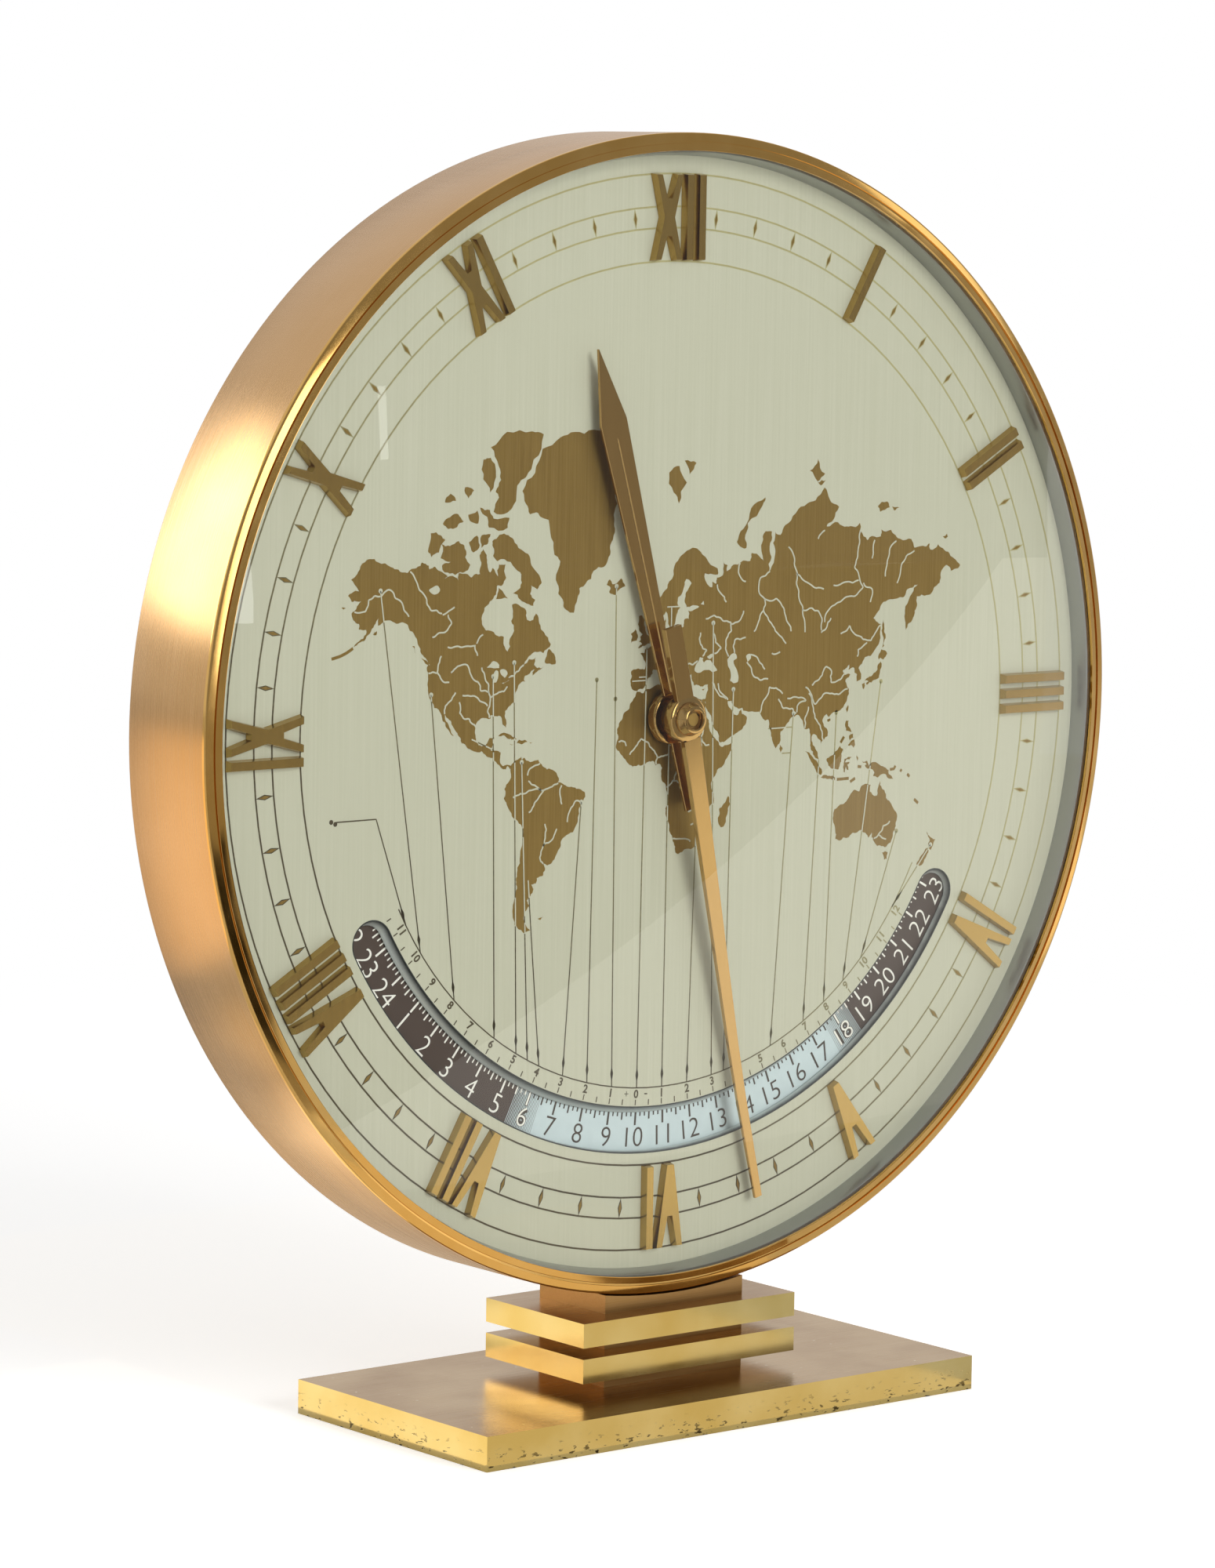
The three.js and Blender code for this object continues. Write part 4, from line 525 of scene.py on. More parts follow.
LANDS = (
    # the north of the western continents
    "-168,65.6 -164,66.5 -162,66.3 -163.5,67.1 -166.5,68.3 -163,69.2 -161.5,70.3 -156.5,71.3 "
    "-152,70.8 -145,70 -141,69.6 -136,69 -134,69.6 -129,70 -128,70.5 -124.5,70 -124,69.4 "
    "-121,69.8 -117,68.9 -114,68.2 -115.5,67.8 -110,68 -108,67.4 -108,68.6 -105.5,68.5 -101,67.8 "
    "-98,68.4 -96,68.3 -95.5,69.7 -96.5,71.2 -94.5,72 -92.5,71.2 -92,69.7 -90.5,68.5 -89,69.2 "
    "-86,67.8 -85.5,69.7 -82,69.7 -81.5,67.5 -83.5,66.3 -86.5,66.2 -87,64.6 -90.5,63.3 -93.5,62 "
    "-94.8,60.2 -94.7,58.8 -92.5,57 -88,56.5 -85,55.3 -82.3,55.1 -82.2,52.9 -80,51.2 -78.7,52.5 "
    "-79.2,54.3 -76.6,56.5 -77,58 -78.4,58.9 -77.5,60.5 -78,62.4 -74,62.3 -70,61 -69.5,59 "
    "-68,58.7 -66,58.8 -64.5,60.3 -62.5,58 -61.5,56.5 -59,55 -57.3,54.4 -55.8,52.6 -58,51.3 "
    "-60,50.2 -66.5,50.2 -69,48.8 -71,47 -68,48.7 -64.3,49.1 -64.5,48 -65.2,47 -63.5,45.9 "
    "-61,45.7 -60,46.3 -63.5,44.6 -66,43.6 -66,44.6 -64.8,45.5 -67,44.8 -70,43.7 -70.8,42.5 "
    "-70,41.7 -73.7,40.8 -74.2,39.6 -75.5,38.2 -76,37 -75.7,35.3 -77.5,34.3 -79.2,33.2 -81.2,31.5 "
    "-81.3,29.7 -80.2,26.8 -80.6,25.2 -81.8,26.2 -82.7,28 -83,29.2 -84.2,30 -85.5,29.8 -88,30.4 "
    "-89.5,30.2 -89.3,29.1 -91.5,29.4 -94,29.6 -96.5,28.4 -97.4,26.5 -97.7,23.5 -97.2,20.7 "
    "-95.8,18.8 -94,18.2 -91.7,18.5 -90.5,20 -89.8,21.3 -87,21.5 -87.5,19.5 -88.2,17.5 -88.8,15.9 "
    "-86,15.9 -83.3,15 -83.7,12 -83.6,10.8 -82,9 -79.7,9.5 -77.3,8.5 -77.8,7.3 -79.5,8.8 "
    "-80.3,7.4 -82.8,8.2 -84.8,9.8 -85.8,11 -87.5,12.9 -91.5,14 -94,16.1 -96.5,15.7 -99.8,16.8 "
    "-102,17.9 -105.2,20 -105.5,21.7 -107.5,24.4 -109.4,26.2 -111,28 -112.8,30.3 -114.7,31.7 "
    "-114.5,30.3 -112.8,28.2 -111.4,26 -109.6,23.2 -110.3,23.4 -112.2,25.5 -114.2,27.3 "
    "-114.3,28.5 -116,30.4 -117.2,32.7 -118.6,34 -120.6,34.6 -122,36.7 -123.8,39.3 -124.2,42 "
    "-124,44.5 -124.2,46.5 -124.6,48.3 -122.6,48.6 -125,50.2 -127.8,51.8 -130,54.5 -132,57 "
    "-135.5,59.2 -139.5,59.8 -144,60.1 -148,60.4 -151.7,59.4 -151.2,61 -153.8,59.5 -156,57.7 "
    "-159,56 -163,55 -164.5,54.6 -161.8,56 -158,57.6 -158,58.6 -162,58.7 -162,60 -165,60.8 "
    "-166,62.2 -163.5,63.1 -161,64.5 -163,64.5 -166,64.5",
    # islands of the far north-west
    "-91,81.7 -82,82.6 -68,82.6 -61.5,82.4 -67,80.8 -71,79.5 -76,78.8 -78,77 -81,76.3 -89,76.4 "
    "-86,77.8 -88,78.3 -85,79.3 -86.5,80.4",
    "-95,80.9 -91,81 -88,80 -91,78.3 -95,79.4",
    "-96.5,76.9 -91,76.6 -89,75.7 -80,75.7 -81,74.6 -91.5,74.7 -92.5,75.9",
    "-89.5,73 -85.5,73.8 -80.5,73.7 -77,72.7 -72,71.5 -68,70.3 -67,69.2 -62,67 -61.5,66.3 "
    "-64,65.2 -67.5,66 -68,64.4 -65,63.2 -66,62 -71,62.8 -75,64.4 -78,64.5 -73.5,65.6 -73,67.5 "
    "-73.5,68.3 -79,70 -86.5,70.2 -89,71 -88.5,72",
    "-117.5,72.9 -113,72.6 -108,73.2 -105,72.6 -104.5,71 -101.5,69.8 -103,69 -107,68.8 -113,68.6 "
    "-116.5,69.1 -117,70 -112.5,70.4 -118,71",
    "-125,72 -123.5,74.3 -118,74 -115.5,73.4 -119,71.8 -123,71.2",
    "-117,75.3 -113,76 -108.5,76.3 -105.5,75.5 -109,74.9 -114,74.7",
    "-102.5,73 -98,73.8 -96.5,72.6 -100,71.6", "-95.5,73.8 -90.5,73.9 -92,72.7 -95.5,72.2",
    "-103,76.2 -98,76.6 -97.5,75.2 -102,75.5", "-87,63.7 -85.5,65.8 -82,64.4 -80.5,63.7",
    "-116,77.5 -113,78.3 -110,77.6", "-105,78.8 -100,78.5 -103,77.8",
    "-59.2,47.7 -57,51.3 -55.6,50.8 -53,48.7 -53.2,46.7 -56,47",
    "-128,50.7 -125,49.9 -123.5,48.5 -126,49.4", "-133,54 -131.7,54 -131.2,52.2",
    "-154.5,57.4 -152.3,58.2 -152.6,57.2", "-171.5,63.4 -169,63.3 -170.3,63.1",
    # islands of the middle west
    "-84.8,21.9 -82.5,23.1 -79.5,22.7 -75.8,21 -74.2,20.2 -77.5,19.9 -77.3,20.6 -81.5,22.1",
    "-74.3,18.4 -73,19.9 -69.8,19.7 -68.4,18.6 -71.5,17.8", "-78.3,18.4 -76.3,18.1 -77.2,17.8",
    "-67.2,18.4 -65.7,18.3 -66.5,17.9",
    # the large northern island and its neighbour
    "-73,78.3 -66,79.8 -62,81.5 -52,82.2 -44,82.5 -33,82.6 -22,82.2 -12,81.4 -17.5,80 -20,78.3 "
    "-19,76.8 -20.5,75.2 -20,74 -22,72.2 -22.5,70.5 -26,68.6 -32,68 -36.5,65.8 -40,65 -41,63 "
    "-43,60 -45.5,60.2 -49,61.5 -52,64.2 -53.5,66.8 -51,69.8 -54.5,70.8 -55,72.5 -58,75.3 "
    "-64,76.1 -68.5,76 -71,77.1",
    "-24.3,65.5 -22.5,66.4 -21,65.5 -16,66.5 -13.6,65 -18.8,63.4 -22.7,63.9 -22,64.8",
    # the south of the western continents
    "-77.5,8.6 -75.5,10.6 -74,11.3 -71.7,12.4 -71.3,11 -70,12 -68.2,10.6 -65,10.1 -62,10.7 "
    "-60,8.5 -57,6 -54,5.8 -51.5,4.3 -50,1.7 -50.5,0 -48,-0.7 -44.5,-2.5 -41.3,-2.9 -38.5,-3.7 "
    "-35.3,-5.2 -34.8,-7.5 -36.5,-10.5 -38.5,-13 -39,-16.5 -40,-20 -41.5,-22.5 -44.5,-23.2 "
    "-48,-25.3 -48.6,-28 -51,-31 -53.5,-34 -56,-34.8 -58.3,-34 -57.2,-36.2 -58.5,-38.4 -62,-39 "
    "-62.3,-40.8 -65,-41 -63.7,-42.6 -65.5,-44.8 -67.5,-46.2 -65.8,-47.8 -68.5,-50 -69,-51.8 "
    "-68.3,-52.7 -65.2,-54.7 -69,-55.3 -72.5,-53.8 -74.7,-51.5 -75.3,-48 -74,-44.5 -73,-42 "
    "-73.7,-39 -73.2,-36.5 -71.6,-33 -71.5,-29.5 -70.3,-25 -70.2,-19 -72.5,-17 -76.2,-14 "
    "-77.5,-11.5 -79.7,-7.3 -81.2,-5.5 -80.2,-3.2 -80.9,-1.5 -79.8,0.8 -77.8,2.7 -77.2,5 -77.6,7",
    "-61,-51.8 -58,-51.4 -59.5,-52.2",
    # the southern middle continent, with its peninsula and its great island
    "-5.9,35.8 -2,35.1 3,36.9 10,37.3 11,36.8 10.2,34.4 11.2,33.2 15.2,32.3 19,30.3 20,32.2 "
    "23,32.7 28,31 31,31.5 32.4,31.2 32.6,29.9 33.8,27.5 35.5,24 37.2,21 37.4,18.8 39.5,15.5 "
    "41.5,13.8 43.2,12.3 43.2,11.5 45,10.5 48,11.2 51.2,11.9 50.8,9.5 49,6.5 47,3.8 44,1 "
    "41.6,-1.7 39.5,-4.5 39,-7 40.5,-10.5 40.6,-15 37,-17.7 34.8,-19.8 35.5,-23.5 32.9,-25.5 "
    "32.5,-28.3 30.5,-31 27.5,-33.3 22.5,-34 19.8,-34.8 18.3,-34 18.2,-31.8 16.5,-28.7 15,-26 "
    "14.4,-22.5 12.3,-18.5 12,-15.5 13.6,-12.3 13.3,-9 12.2,-6 9.5,-2.5 9.3,0.5 9.8,3 8.6,4.6 "
    "6,4.3 4.4,6.3 1.5,6.2 -2,4.8 -4.5,5.2 -7.6,4.4 -11,6.7 -13.2,9 -15,10.9 -16.8,12.5 "
    "-17.4,14.7 -16.2,18.5 -17,21 -16,23.7 -13.5,27.5 -10,29.5 -9.7,31.5 -7,33.7",
    "32.4,31.2 34.3,31.3 34.9,29.5 34.2,27.8 32.7,29.8",
    "49.3,-12.1 50.4,-15.7 49.3,-18.5 47.2,-24.9 45,-25.5 43.4,-23 44.3,-20 44,-17.5 46.5,-15.6",
    # the large northern continent
    "-5.6,36 -8.9,37 -9.4,38.8 -8.9,41.5 -9.2,43.1 -4,43.5 -1.5,43.4 -1.2,45.8 -2.5,47.3 "
    "-4.7,48.4 -1.6,48.7 -1.5,49.7 1.5,50.2 4,51.7 6,53.3 8.5,53.9 8.2,56.5 10.5,57.7 10.3,56.2 "
    "9.7,54.9 11,54 14,54.1 18.5,54.7 21,55.3 21.2,57 24,57.2 24.3,58.4 23.5,59.2 28,59.5 30,60 "
    "25,60.2 22.5,60 21.3,61.5 22,63.2 25.3,65 22,65.8 21,64.5 17.5,62.3 17.2,60.7 18.8,60 "
    "16.8,58.5 16,56.5 14.2,55.5 12.8,55.5 11.3,58.8 10.5,59.3 8,58.1 5.6,58.8 5.1,61 8.5,63.3 "
    "12,65.5 15,68.2 19,69.9 25.5,71 30.5,70.3 33.5,69.4 40.5,67.5 40.8,66.4 35,66.5 33,66.7 "
    "34.8,64.5 37.5,64 37.5,65.1 40,64.7 40.3,65.8 43.8,66.2 44,68.5 46.5,67.9 46,66.9 50,68 "
    "54.5,68.4 60,68.5 60.8,69.8 66,69 68.5,68.3 67,69.6 67,71.3 69,72.9 72.8,72.8 71.8,71.2 "
    "72.8,69 71.5,66.4 74.5,68.6 73.6,71.2 75,72.7 78,72.3 80.7,73.6 87,75 94,76.1 99,76.4 "
    "104.3,77.7 107.5,76.5 113.5,75.6 110,74 106,73.2 113,73.7 118.5,73.1 123,73 126.5,73.5 "
    "129,71.6 131.5,71 134.5,71.6 139.8,71.5 140,72.5 146,72.4 152,71 159,70.9 161,69.5 168,69.6 "
    "170.5,70.1 171,69.1 176,69.9 180,68.9 184,67.8 188,66.9 190.3,66.1 188.5,65.4 184.5,65 "
    "181.5,66.2 178,64.7 177.5,62.6 174,61.7 170.3,60 166,60.2 163.2,59.8 163.5,58 162,56.3 "
    "161.8,55 159.9,53.2 158.3,52.9 156.7,51.1 155.6,55 156,57.5 160,60.5 163.8,62.5 160,61.8 "
    "156.5,61.2 154.5,59.7 150.5,59.5 145,59.3 142,58.8 137,55.3 135.3,54.7 138.5,53.8 141.2,53 "
    "140.5,50.2 140.3,48 137,45 135,43.4 132,43.2 130.7,42.3 128,40 127.5,39.3 129.3,37 "
    "129.2,35.3 126.5,34.4 126.7,37 125,38 124.8,39.6 121.3,39 121.8,40.8 119,39.2 117.8,38.8 "
    "119.2,37.2 122.5,37.2 120.2,35.8 119.5,34.8 121.7,31.8 121.8,29.5 119.8,26 117.5,23.8 "
    "114,22.4 110.5,21.2 109.7,20.4 108.5,21.8 106,19.8 106.5,17.7 108.8,15.2 109.2,12 106.8,10.4 "
    "105,8.7 104.8,10.3 102.7,12 100.9,13.4 100,13.2 99.3,10.5 100.2,8.3 101.7,6.6 103.3,4 "
    "104,1.4 101.5,2.8 100.4,5.3 98.5,8.2 98.6,12 97.6,16.3 95.3,15.8 94.3,17.5 92.2,21 90.5,22.4 "
    "87,21.6 85.2,19.6 82.3,16.7 80.2,15.5 80.2,13 79.8,10.4 78.2,8.9 77.4,8.1 76,10.3 74.5,14 "
    "73,18 72.8,21 70.8,20.8 69,22.3 67,24.8 61.5,25.1 57.5,25.6 56.8,27 54.3,26.6 51,28.3 "
    "50,30.1 48,30 48.2,28.5 50.2,26.5 51.5,25 52,24.2 54.5,24.3 56.2,26.2 56.6,24.3 59.8,22.5 "
    "57.7,19 55,17 52.2,15.6 48.5,14 45,12.8 43.3,12.8 42.8,16.3 39.5,20.5 38.5,23.2 36,26.5 "
    "34.8,28 34.3,31.3 35,32.8 36,35.5 36,36.8 33,36.1 30.6,36.8 28,36.7 26.5,38.5 26.2,40.1 "
    "26.2,40.8 23.8,40.4 23,39 24,37.8 22.8,36.5 21.2,37.8 19.4,40.3 19.5,41.8 16.5,43.3 13.6,45 "
    "12.4,45.3 12.4,44.2 13.8,42.6 16,41.8 18.4,40 16.9,40.4 17.1,39 15.8,38 15.6,40 12.3,41.8 "
    "10.3,43.6 8.8,44.4 6.2,43.1 3.2,43.2 3.1,41.8 0.2,40 -0.2,38.5 -2.2,36.8 -4.5,36.7",
    # islands of the north and the middle sea
    "-5.5,50.1 -3,50.7 1.3,51.2 1.6,52.7 0.2,53.5 -1.5,55 -2,57.6 -3.5,58.6 -5.2,58.5 -5.8,56.5 "
    "-4.9,54.8 -3,54 -4.5,53.3 -4,52.4 -5.2,51.8 -3.2,51.3 -4.3,51",
    "-9.8,51.6 -6.3,52.3 -6,54 -7.3,55.3 -9.8,54.2 -9.2,53",
    "11,79.5 17,80 21.5,78.6 17,76.6 13.8,77.7", "20,80.4 27,80.2 23,79.3",
    "51.7,71.5 55.5,73.3 60,75.8 68.5,76.9 67,76.1 58,74 56.5,72 57.5,70.6 53.5,70.9",
    "95,79.3 100,80.2 104.5,79 100,78.3", "100,78.2 105,78.4 102,77.9",
    "137.5,75.5 143,76 145,75.3 139,74.8", "146.5,75.4 151,75.2 148,74.9",
    "178.8,71.1 181.5,71.5 182,71 180,70.8", "12.5,38 15.5,38.2 15.1,36.8", "8.3,41 9.7,40.8 9,39",
    "8.7,42.5 9.5,42.8 9.2,41.5", "32.4,35 34.3,35.5 33.5,34.7",
    # islands of the east
    "142.3,54.2 143,53 143.3,50.5 144.2,49.2 142.8,47.5 143.3,46.5 142,46 142,50 141.8,52.5",
    "140,42 141.5,45.4 145.3,43.8 143.2,42 141,42.6",
    "131,34.2 133,35.5 136,36.2 137,37.2 139.3,38.2 140,40.5 141.3,41.3 142,39.5 140.9,37 "
    "140.4,35.3 138.5,34.7 135.8,33.6 133.5,34.4",
    "132.5,33.5 134.5,34.2 134,33.3 133,32.8",
    "129.8,33.2 131.3,33.8 131.8,32.6 130.7,31.2 130.2,32", "121.5,25.2 120.9,22 120.2,23.3",
    "108.7,19.3 110.5,20 110.8,19 109.4,18.3",
    "120.5,18.4 122.2,18.3 121.7,16 124,13 122.5,13.5 120.7,13.8 120,16",
    "122,7 123.5,8.5 125.5,9.7 126.4,7 125.4,5.7 124,7.2",
    "122.5,11.5 125,12.3 125.2,10.3 123,9.3 122.5,10.4",
    "109,1.6 111.3,2.6 113.2,3.4 115,5 117,7 119,5.3 117.8,3.5 118,1 117.4,-0.8 116.3,-3.9 "
    "114,-3.5 111.8,-3.2 110,-1.7 109,0.3",
    "95.3,5.6 97.5,5.2 100.3,2.8 103.3,0 104.7,-2.3 106,-3.2 105.8,-5.8 102.5,-4 100.5,-1 98.7,1.7",
    "105.3,-6.8 107,-6 110.8,-6.5 114.3,-7.6 114.3,-8.6 110,-8 106.5,-7.4",
    "120,0.8 124.5,1.5 121,0.4 120.2,-0.8 121.5,-0.9 123.3,-0.9 121.7,-2 122.5,-4.5 121.5,-4.2 "
    "120.8,-2.8 120.4,-5.5 119.5,-5 119.2,-3 119.8,-0.5",
    "127.5,2 128.5,1 128,-0.5", "79.9,9.7 81.8,7.5 80.5,6 79.8,7.5",
    "131,-0.8 134,-0.9 135,-3.3 138,-1.7 141,-2.6 145,-4.5 147.8,-6 148,-8 150.7,-10.5 147.5,-9.8 "
    "144.5,-7.6 141,-9.1 138,-8.2 138.8,-6.8 137,-5 133.5,-4 132.8,-2.8 133.8,-2.4 131.5,-1.5",
    # the south-eastern continent and its neighbours
    "114.2,-22 113.7,-24 113.6,-26.5 115,-30 115.8,-32.5 115.2,-34.2 118,-35 120,-33.9 "
    "123.8,-33.9 126,-32.3 131.2,-31.5 134.2,-33 135.8,-34.8 137.8,-32.8 137.5,-35 138.5,-34.8 "
    "139.8,-36.8 141.5,-38.3 144,-38.5 146.3,-39 149.9,-37.4 151.2,-33.9 153,-31 153.5,-28.2 "
    "152.8,-25 150.7,-22.9 148.8,-20.3 146.3,-18.8 145.4,-15.3 143.6,-14.2 142.5,-10.8 141.6,-13 "
    "140.8,-17.4 139.5,-17.5 136,-15.2 136.8,-12.2 133,-11.6 130.7,-12.6 129.5,-14.9 126,-14 "
    "123.7,-16.5 122.2,-18.2 119,-20 116.8,-20.6",
    "144.7,-40.8 148.2,-40.9 147.8,-43.2 146,-43.4",
    "172.8,-34.5 174.8,-36.5 175.8,-37 178.4,-37.8 177,-39.5 175.3,-41.5 174.8,-41.2 173.9,-39.3 "
    "174.8,-38",
    "172.8,-40.6 174.2,-41.5 172.8,-43.6 170.8,-45.8 168.5,-46.6 166.6,-46 168.5,-44 171.3,-42",
)
ISLAND_CHAINS = (
    "-165,54.3 -168.5,53.2 -172,52.4 -176.5,51.8", "117.3,8.5 119.4,11.2", "23.6,35.3 26.2,35.1",
    "115.5,-8.5 119,-8.5 122.8,-8.4", "123.7,-10.1 126.8,-8.6", "128.3,-3.2 130.5,-3.5",
    "148.5,-5.8 151,-5.6 152,-4.2", "164.2,-20.3 166.8,-22.2", "155,-6.2 156,-7",
    "159.5,-8.5 161,-9.8",
)
LAKES = (
    "28,41.8 31.5,41.2 35,42 38.5,41 41.5,41.6 39,43.8 37,45.2 35,45.3 33.5,44.5 32.5,45.4 "
    "33,46.1 30.8,46.4 28.8,44.2 27.9,42.8",
    "35,46.3 37,47 39,47.1 38,46 36.5,45.5",
    "47.2,45 49,46.4 52,46.9 53,45.2 50.8,44.5 52.5,42 53.5,40.5 53.8,37 51,36.7 49,37.6 "
    "49.5,40.2 47.7,42.8",
    "58.3,45.8 61,46.5 61.5,45 59.5,43.8", "32,-1 34,-0.5 33.5,-2.4 31.8,-2.2",
    "13.5,13 15,13.3 14.5,12.5", "-92,46.8 -88.5,48.8 -84.7,47.5 -84.8,46.5 -87.5,46.5",
    "-87.6,45.3 -87.8,42 -86.3,42 -85.2,45.5 -86.8,45.9",
    "-84.4,45.9 -81.2,45.9 -80,44.6 -81.6,43.3 -83.3,44.2",
    "-83.2,41.8 -79,42.8 -80,42.2 -82.5,41.4", "-79.6,43.4 -76.4,44.1 -76.5,43.5 -79.2,43.2",
    "-124.5,66 -120,66.8 -118,65.8 -121.5,65.1", "30.5,60.5 32.5,61.3 32.8,60.3",
)
RIVERS = (
    # western continents
    "-90,29.5 -91,32 -89.5,36 -90.5,39 -91,42 -93,45 -94.5,47",
    "-90.3,38.8 -95,39.5 -96.5,42.6 -100.5,45 -102.5,48 -108,47.8 -111.5,46",
    "-89.2,37 -85.5,38.3 -82,38.8 -80,40.4", "-91,34 -95.5,36 -99,38 -105,38.3",
    "-97.3,26 -101,29.5 -104.5,30 -106.5,32 -106.8,36", "-114.8,32 -114.5,35 -111,37 -109,39.5",
    "-124,46.2 -119.5,46 -118.5,48.8 -117,51", "-119,46.2 -116.8,44 -112.5,43",
    "-134.5,69.2 -130,66.5 -126.5,65 -123,62 -117,61.3",
    "-164.5,62.5 -158.5,62.5 -157,64.7 -150,65.3 -145,66.3 -139,64 -135,61",
    "-113.5,61 -111.5,59 -117,57 -122,56", "-99,53.3 -106,53 -113.5,53.3", "-97.5,53.8 -94,56",
    "-71,47 -73.5,45.5 -76.3,44.2", "-97,50.5 -98.5,53.5", "-116.5,61 -110,62.5",
    "-50.5,-0.5 -55,-2 -60,-3.2 -66,-2.8 -70,-4 -73.5,-4.5 -76,-5.5",
    "-58.8,-3.4 -62,-7 -65,-10.5 -67,-12.5", "-60,-3.1 -64,-0.5 -67.5,1.5",
    "-48.5,-1.5 -49.5,-5 -48.3,-10", "-61,9 -65,7.7 -67.5,6 -68,4",
    "-36.4,-10.4 -40.5,-9 -43.5,-13 -45,-18",
    "-58.5,-34 -60.5,-31.5 -58.7,-27.3 -54.5,-25.5 -51,-20.5", "-58.6,-27.3 -57.5,-23 -57.8,-18",
    # southern middle continent
    "6.2,4.8 6.7,8 4,11.5 1,15 -3,16.7 -6,13.5 -9.5,10", "6.8,7.9 11,8.5 13.5,9.2",
    "-16,16 -13,16 -11.5,14",
    "31,31 31,27 32.7,25 31.5,21 33.8,18.5 32.6,15.6 32.7,12 31,9.3 31.5,5 31,2",
    "32.6,15.6 35,11.8 37.3,11.8",
    "12.5,-6 15.3,-4.3 17.5,-0.5 20.5,1.8 24,1.5 25.5,-1 26.5,-5 26,-9", "17.8,0 18.5,4.3 22.5,4.5",
    "16.2,-3.2 20,-4.5 21.5,-9", "36.3,-18.7 33,-16.5 28.5,-16.5 25.8,-17.9 23,-15",
    "16.5,-28.6 20,-28.8 24,-29 27,-30.3", "33.5,-25 31,-22.4 27,-23.5", "29.4,-3.5 30.8,-8.5",
    "34,-10 34.8,-14",
    # northern continent
    "29.5,45.2 27,44 22.7,44.5 19,45.5 19,47.7 15,48.3 10,48.5",
    "48,46 46,48.5 46.5,51.5 49.5,53.5 49,55.8 44,56.3 39,57.8 34,57", "49.2,55.3 54,56 56.5,58.5",
    "39.5,47.2 43.5,48.7 40,50.5 39,53", "32.5,46.6 35,48.3 31,50.3 31,53.5",
    "40.5,64.5 45,61.8 46,60.7", "54,68.2 53,66.5 57.5,64.8", "51.5,47 51.5,51 58,51.5",
    "72,66.5 66.5,65.5 65.5,62.5 69,61 76,61 81,58.5 84,54.5 85.5,52.5",
    "69,61 68.5,58.2 73.4,55 77,52.3 82.5,49", "68.3,58.2 65.5,55.5 63,53",
    "83,70.5 86.5,67.5 88,64 90,60.5 92.5,56.5 94,52", "88,65.8 95,64 105,62.5",
    "92,58.1 98,58.3 102,57.5 104,52.3",
    "127,72.5 125.5,69 123.5,66.5 129.5,62.5 124,60.5 117,60 110,58.5 106,54.5",
    "129.5,63.4 135,62 134,59", "126.5,64 119,63.8 111,63.2", "136,71 134.5,68",
    "149.5,70.7 144,67.5 143,64.5", "161,69 153,66.8 150.5,63", "105,72.7 101,71.5",
    "104,51.6 107,52.8 109.8,55.5", "74,46.2 79,46.5",
    "141,52.9 137,50.3 135,48.4 130,48.9 127.5,50 121.5,53.3 116,51",
    "132.5,47.8 127,45.8 126.5,43.5",
    "118.8,37.6 114,35 110.5,34.8 110.8,39 107.5,40.7 105,37.5 103,36 99,34",
    "121,31.8 116,29.9 112.5,30 108,30.7 104.5,28.7 101,26.3 99,30 95,33.5",
    "106.5,10 105.8,13.5 104.5,17 101,20.5 99.5,26 97,31", "95,16.3 95,21 97,25.5",
    "90,23.5 90,26 95.5,28 91,29.4 84,29.5", "89.5,23 87,25.3 81.5,25.5 78.5,29.5",
    "67.5,24.2 68.5,27.5 71.5,31 73,34.5 77,34 81,31.5", "48,30.5 44.5,33 42,37",
    "47,31 41,34.5 38.5,37.5", "59,43.8 62,40.5 67,37.2 72,37.5", "61.2,46.2 66,44.3 70,41",
    "4.5,51.8 7,50.7 8.2,48.8", "9.5,53.7 12,52.5 14.5,50.3", "19,54.2 19,52.7 21,51.5",
    # south-eastern continent
    "139.3,-35.3 142,-34 147,-36", "142,-34 145,-30.5 149,-28.8",
)
RIVER_WIDTH = 0.36
CHAIN_WIDTH = 0.7
COAST_BEND = 0.34
SHORTEST_RUN = 0.45


def on_dial(pairs):
    """Longitude,latitude pairs as dial points on the map's projection."""
    points = []
    for pair in pairs.split():
        lon, lat = [float(part) for part in pair.split(",")]
        stretch = math.log(math.tan(math.pi / 4 + math.radians(lat) / 2))
        points.append((MAP_MIDDLE + MAP_DEGREE * lon, MAP_EQUATOR + MAP_SPREAD * stretch))
    return points


def rugged(points, closed, rounds):
    """Breaks straight runs of coast or river into small bends, the same ones on every run."""
    for _ in range(rounds):
        broken = []
        for (ax, az), (bx, bz) in zip(points, points[1:] + points[:1]):
            broken.append((ax, az))
            wave = math.sin(91.7 * ax + 47.3 * bz) * 9999
            bend = 0
            if math.hypot(bx - ax, bz - az) > SHORTEST_RUN:
                bend = COAST_BEND * (wave - math.floor(wave) - 0.5)
            broken.append(((ax + bx) / 2 + bend * (az - bz), (az + bz) / 2 + bend * (bx - ax)))
        points = broken if closed else broken[:-1]
    return points


def softened(points, closed):
    """Cuts every corner at a quarter of its sides, as a stencil knife rounds them."""
    pairs = list(zip(points, points[1:] + points[:1])) if closed else list(zip(points, points[1:]))
    cut = []
    for (ax, az), (bx, bz) in pairs:
        cut.append((0.75 * ax + 0.25 * bx, 0.75 * az + 0.25 * bz))
        cut.append((0.25 * ax + 0.75 * bx, 0.25 * az + 0.75 * bz))
    return cut if closed else [points[0]] + cut + [points[-1]]


def outline(points):
    """A filled shape as one printed mark: its points and the faces that fill it."""
    filled = delaunay_2d_cdt([Vector(point) for point in points], [], [range(len(points))], 1, 1e-4)
    return [tuple(point) for point in filled[0]], filled[2]


